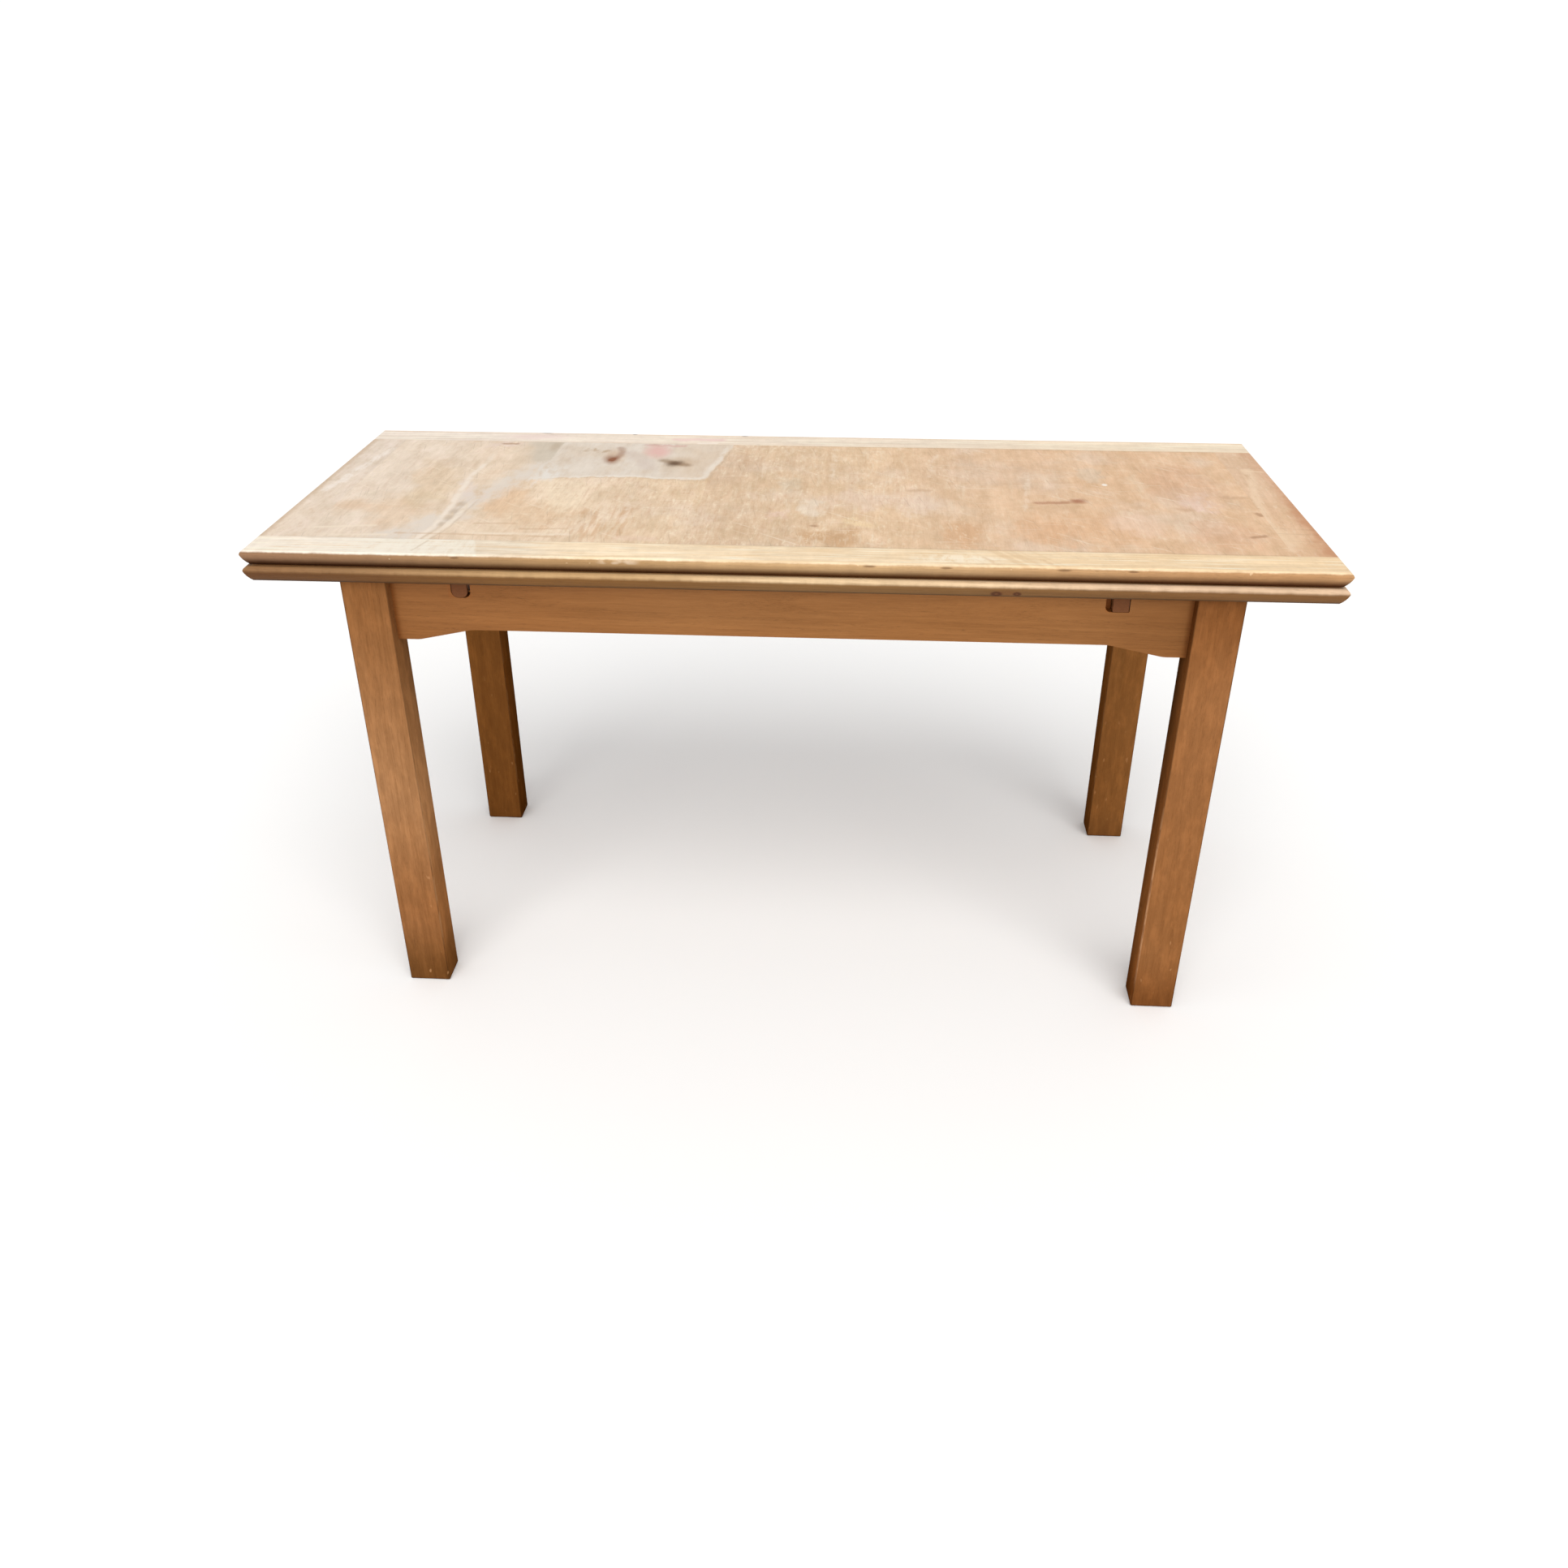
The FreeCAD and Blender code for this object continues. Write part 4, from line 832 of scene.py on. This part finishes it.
        # scorch marks, each with a brown smudge beside it
        mu = low(path(xs, ys, ((-0.367, 0.200), (-0.359, 0.214), (-0.350, 0.202))), stroke(xs, ys, (-0.341, 0.190), (-0.330, 0.202)))
        col = mix(col, up(186, 158, 126), smooth(mu, 0.0095, 0.0010) * smooth(m3, 0.34, 0.58) * 0.72)
        hal = smooth(oval(xf, yf, (-0.312, 0.172), (0.020, 0.054), 6.0), 1.2, 0.2)
        col = mix(col, up(206, 174, 144), hal * 0.55)
        b1 = smooth(oval(xs, ys, (-0.3160, 0.1500), (0.0135, 0.0270), 10.0), 1.4, 0.1)
        b1b = smooth(path(xs, ys, ((-0.3110, 0.220), (-0.3040, 0.196), (-0.3065, 0.162), (-0.3140, 0.148))), 0.0105, 0.0010)
        col = mix(col, up(146, 94, 66), clamp01(b1 * 0.80 + b1b * 0.46))
        hal2 = smooth(oval(xf, yf, (-0.197, 0.140), (0.030, 0.038), -12.0), 1.25, 0.2)
        col = mix(col, up(200, 172, 142), hal2 * 0.62)
        b2b = smooth(path(xs, ys, ((-0.228, 0.150), (-0.207, 0.135), (-0.187, 0.126))), 0.0150, 0.0010)
        col = mix(col, up(150, 120, 90), b2b * 0.66)
        b2 = smooth(oval(xs, ys, (-0.2080, 0.1340), (0.0145, 0.0200), -20.0), 1.35, 0.1)
        col = mix(col, up(100, 72, 48), b2 * 0.88)
        b3a = smooth(stroke(xs, ys, (0.366, -0.038), (0.410, -0.034)), 0.0100, 0.0010)
        b3 = smooth(oval(xs, ys, (0.4290, -0.0260), (0.0155, 0.0135), 4.0), 1.3, 0.2)
        col = mix(col, up(168, 106, 76), clamp01(b3a * 0.55 + b3 * 0.78))
        # small dark nicks and a white speck
        nick = None
        for a, b in (((0.655, -0.175), (0.672, -0.168)), ((0.686, -0.070), (0.689, -0.078)), ((0.032, -0.161), (0.036, -0.161)), ((-0.516, 0.233), (-0.494, 0.234))):
            s = stroke(xs, ys, a, b)
            nick = s if nick is None else low(nick, s)
        col = mix(col, up(166, 124, 92), smooth(nick, 0.0080, 0.0010) * 0.62)
        smudge = low(low(stroke(xf, yf, (0.653, 0.005), (0.685, 0.006)), stroke(xf, yf, (0.574, -0.055), (0.592, -0.054))), stroke(xf, yf, (0.176, 0.011), (0.206, 0.012)))
        col = mix(col, up(196, 158, 124), smooth(smudge, 0.0120, 0.0010) * 0.42)
        dot = oval(x, y, (0.481, 0.058), (0.0045, 0.0060))
        col = mix(col, up(252, 246, 236), smooth(dot, 1.3, 0.6) * 0.8)
        # the line round the panel
        col = shade(col, 1.0 - smooth(0.248 - magnitude(y), 0.0050, 0.0) * (0.05 + smooth(x, -0.20, 0.10) * 0.10))
        # underside: plain, darker, never finished
        below = smooth(nz, -0.4, -0.8)
        raw = shade(wood(srgb(158, 120, 80), oak.tone, 0.8), 0.95 + (m1 - 0.5) * 0.2)
        col = mix(col, raw, below)
        rough = 0.62 + (m2 - 0.5) * 0.16
        height = oak.height * 0.7 + (m3 - 0.5) * 0.25 + (f1 - 0.5) * 0.3 - smooth(s2, 0.66, 0.74) * 0.3
        finish(col, rough, height, 0.00022, spec=0.20)

    return material(name, build)


def leaf_panel_material(name, seed):
    def build():
        x, y, z = here()
        nx, ny, nz = facing()
        # veneer joints
        sheet, joint = 0.0, None
        for place in (-0.478, -0.138, 0.202, 0.542):
            sheet = mth("GREATER_THAN", x, place) + sheet
            gap = magnitude(x - place)
            joint = gap if joint is None else low(joint, gap)
        jit = random1(sheet + 31.0 * seed)
        oak = Oak(y + sheet * 1.7 + seed, x, sheet * 0.31 + 0.02, seed, pith=(0.0, -0.16), ring=0.0030, slope=(0.0, 0.05), wander=0.020, figure=0.40)
        big, small = wear_map(x, y, seed)
        col = wood(srgb(196, 146, 94), oak.tone, 1.0)
        col = shade(col, 0.98 + (big - 0.5) * 0.14 + (jit - 0.5) * 0.07)
        col = shade(col, 1.0 - oak.pore * 0.24)
        col = mix(col, srgb(232, 188, 138), oak.ray * 0.35)
        s1 = noise(vec(x * 9.0 + y * 30.0, y * 330.0 - x * 12.0, 3.0 + seed), 1.0, 0.5)
        col = mix(col, srgb(228, 190, 148), smooth(s1, 0.68, 0.74) * 0.25)
        col = shade(col, 1.0 - smooth(joint, 0.0011, 0.0003) * 0.16)
        below = smooth(nz, -0.4, -0.8)
        col = mix(col, wood(srgb(156, 118, 78), oak.tone, 0.9), below)
        rough = 0.40 + (small - 0.5) * 0.14 + oak.pore * 0.1 + below * 0.25
        finish(col, rough, oak.height * 0.8, 0.00024, spec=0.34)

    return material(name, build)


# ---------------------------------------------------------------- inner wood, baize and steel
def plain_wood_material(name, axis, seed, base, end=None):
    """Bare hardwood. end is the colour of an end that shows outside."""

    def build():
        x, y, z = here()
        cx, cy, cz = middle(name)
        px, py, pz = x - cx, y - cy, z - cz
        u, v, w = {"x": (px, py, pz), "y": (py, px, pz), "z": (pz, px, py)}[axis]
        oak = Oak(u, v, w, seed, pith=(0.03, -0.08), ring=0.0024, slope=(0.01, 0.01), wander=0.008, figure=0.30)
        col = wood(base, oak.tone, 0.9)
        cloud = noise(vec(x * 8.0, y * 8.0 + seed, z * 20.0), 3.0, 0.6)
        col = shade(col, 0.96 + (cloud - 0.5) * 0.20)
        col = shade(col, 1.0 - oak.pore * 0.25)
        if end is not None:
            # rubbed pale along the sliding faces, dark on the end that shows
            col = shade(col, 1.0 + smooth(z, 0.6845, 0.6823) * 0.15)
            tip = smooth(magnitude(y), 0.2640, 0.2672)
            pits = noise(vec(x * 900.0, 1.0, z * 900.0), 2.0, 0.6)
            arc = noise(vec(x * 160.0, 3.0, z * 520.0 + x * 60.0), 2.0, 0.6)
            grain_end = mix(scaled(end, 0.72), scaled(end, 1.10), clamp01(arc * 0.8 + pits * 0.4 - 0.1))
            grain_end = shade(grain_end, 1.0 - smooth(z, 0.704, 0.712) * 0.35)
            col = mix(col, grain_end, tip)
        rough = 0.58 + (cloud - 0.5) * 0.14 + oak.pore * 0.1
        finish(col, rough, oak.height, 0.0003, spec=0.06)

    return material(name, build)


def baize_material(name):
    def build():
        x, y, z = here()
        nap = noise(vec(x * 1400.0, y * 1400.0, z * 1400.0), 3.0, 0.7)
        tuft = noise(vec(x * 260.0, y * 340.0, z * 300.0), 3.0, 0.6)
        worn = noise(vec(x * 6.0, y * 30.0, 1.0), 3.0, 0.6)
        col = mix(srgb(20, 48, 28), srgb(62, 104, 66), clamp01(nap * 0.6 + tuft * 0.5 - 0.05))
        col = mix(col, srgb(104, 118, 88), smooth(worn, 0.52, 0.70) * 0.45)
        finish(col, 0.85 + (tuft - 0.5) * 0.2, nap * 0.6 + tuft * 0.5, 0.0006, spec=0.15, sheen=0.35)

    return material(name, build)


def screw_material(name):
    def build():
        x, y, z = here()
        tarnish = noise(vec(x * 260.0, y * 260.0, z * 260.0), 3.0, 0.6)
        brushed = noise(vec(x * 1500.0, y * 1500.0, z * 60.0), 2.0, 0.6)
        col = mix(srgb(120, 112, 100), srgb(178, 172, 160), clamp01(brushed * 0.6 + tarnish * 0.5 - 0.05))
        col = mix(col, srgb(96, 62, 40), smooth(tarnish, 0.56, 0.70) * 0.6)
        finish(col, 0.38 + smooth(tarnish, 0.46, 0.70) * 0.35, brushed, 0.00005, spec=0.5, metal=0.85)

    return material(name, build)


for i, (label, sx, sy, stops) in enumerate((
    ("leg_front_left", -1, -1, ((0.02, front(128, 84, 48)), (0.13, front(164, 111, 72)), (0.37, front(184, 134, 96)), (0.70, front(155, 105, 67)))),
    ("leg_front_right", 1, -1, ((0.00, front(144, 90, 50)), (0.12, front(161, 108, 68)), (0.55, front(166, 112, 72)), (0.70, front(145, 93, 55)))),
    ("leg_back_left", -1, 1, ((0.05, front(124, 77, 37)), (0.38, front(140, 90, 47)), (0.66, front(180, 126, 72)))),
    ("leg_back_right", 1, 1, ((0.10, front(144, 94, 52)), (0.60, front(159, 107, 62)))),
)):
    give([label], leg_material(label, sx, sy, 1.0 + 2.3 * i, stops))
LONG_APRON = ((-0.50, front(150, 98, 56)), (-0.12, front(160, 109, 66)), (0.38, front(157, 106, 63)), (0.54, front(142, 93, 52)))
SHORT_APRON = ((-0.20, front(146, 95, 54)), (0.18, front(138, 88, 48)))
for i, (label, axis, stops) in enumerate((("apron_front", "x", LONG_APRON), ("apron_back", "x", LONG_APRON), ("apron_left", "y", SHORT_APRON), ("apron_right", "y", SHORT_APRON))):
    give([label], apron_material(label, axis, 12.0 + 1.7 * i, stops))
RAILS = (
    ("front", "x", ((-0.60, up(248, 236, 220)), (-0.44, up(238, 221, 198)), (-0.25, up(247, 224, 191)), (0.60, up(247, 219, 180)))),
    ("back", "x", ((-0.60, up(240, 226, 212)), (0.00, up(240, 224, 205)), (0.60, up(243, 224, 198)))),
    ("left", "y", ((-0.20, up(235, 216, 196)), (0.15, up(230, 213, 196)))),
    ("right", "y", ((-0.20, up(228, 190, 154)), (0.20, up(226, 193, 162)))),
)
for i, (key, axis, stops) in enumerate(RAILS):
    give(["top_rail_" + key], top_rail_material("top_rail_" + key, axis, 21.0 + 1.9 * i, stops))
give(["top_panel"], top_panel_material("top_panel"))
for i, side in enumerate(("front", "back")):
    for j, (key, axis) in enumerate((("outer_rail", "x"), ("inner_rail", "x"), ("left_rail", "y"), ("right_rail", "y"))):
        label = "%s_leaf_%s" % (side, key)
        give([label], leaf_rail_material(label, axis, 31.0 + 1.3 * j + 7.0 * i, hidden=key == "inner_rail"))
    give([side + "_leaf_panel"], leaf_panel_material(side + "_leaf_panel", 5.0 + 2.0 * i))
    for j, key in enumerate(("left", "right")):
        label = "%s_runner_%s" % (side, key)
        give([label], plain_wood_material(label, "y", 44.0 + 1.1 * j + 3.0 * i, srgb(152, 110, 72), end=srgb(118, 74, 46)))
    give([side + "_runner_stops"], plain_wood_material(side + "_runner_stops", "x", 51.0 + i, srgb(152, 112, 74)))
give(["centre_board"], plain_wood_material("centre_board", "x", 54.0, srgb(162, 122, 82)))
give(["runner_guides_left"], plain_wood_material("runner_guides_left", "y", 55.0, srgb(156, 116, 76)))
give(["runner_guides_right"], plain_wood_material("runner_guides_right", "y", 56.3, srgb(156, 116, 76)))
give(["top_pegs"], plain_wood_material("top_pegs", "z", 57.0, srgb(166, 122, 80)))
give(["peg_keepers"], plain_wood_material("peg_keepers", "x", 58.0, srgb(154, 112, 72)))
give(["baize_strips"], baize_material("baize_strips"))
give(["centre_board_screws", "guide_screws", "keeper_screws", "front_runner_screws", "front_stop_screws", "back_runner_screws", "back_stop_screws"], screw_material("steel_of_screws"))

# ---------------------------------------------------------------- floor and light
bpy.ops.mesh.primitive_plane_add(size=600)
floor = bpy.context.object
floor.name = "floor"


def floor_build():
    x, y, z = here()
    cloud = noise(vec(x * 1.5, y * 1.5, 0.0), 2.0, 0.5)
    shader = node("ShaderNodeBsdfPrincipled")
    put(shader.inputs["Base Color"], mix((0.94, 0.94, 0.94), (0.96, 0.96, 0.96), cloud))
    shader.inputs["Roughness"].default_value = 0.9
    shader.inputs["Specular IOR Level"].default_value = 0.1
    out = node("ShaderNodeOutputMaterial")
    NT.links.new(shader.outputs[0], out.inputs["Surface"])


floor.data.materials.append(material("floor", floor_build))

world = bpy.data.worlds.new("studio")
scene.world = world
world.use_nodes = True
NT = world.node_tree
NT.nodes.clear()
tc = node("ShaderNodeTexCoord")
dx, dy, dz = parts(C(tc.outputs["Generated"]))
# an even dome, brighter overhead and in front, with a white band at the horizon
dome = 0.27 + smooth(dz, 0.0, 0.9) * 0.42 + smooth(dy, 0.3, -0.9) * 0.30
level = high(dome, smooth(magnitude(dz), 0.05, 0.03) * 1.05)
bg = node("ShaderNodeBackground")
bg.inputs["Color"].default_value = (1.0, 1.0, 1.0, 1.0)
put(bg.inputs["Strength"], level)
# the backdrop behind the floor is plain white
sky = node("ShaderNodeBackground")
sky.inputs["Color"].default_value = (1.0, 1.0, 1.0, 1.0)
sky.inputs["Strength"].default_value = 1.05
seen = node("ShaderNodeLightPath")
both = node("ShaderNodeMixShader")
NT.links.new(seen.outputs["Is Camera Ray"], both.inputs[0])
NT.links.new(bg.outputs[0], both.inputs[1])
NT.links.new(sky.outputs[0], both.inputs[2])
wo = node("ShaderNodeOutputWorld")
NT.links.new(both.outputs[0], wo.inputs["Surface"])

sun_data = bpy.data.lights.new("key", "SUN")
sun_data.energy = 2.1
sun_data.angle = math.radians(60.0)
sun_data.color = (1.0, 0.985, 0.96)
sun = bpy.data.objects.new("key", sun_data)
scene.collection.objects.link(sun)
# from the front, a little to the right, and above
sun.rotation_euler = (math.radians(46.0), 0.0, math.radians(8.0))
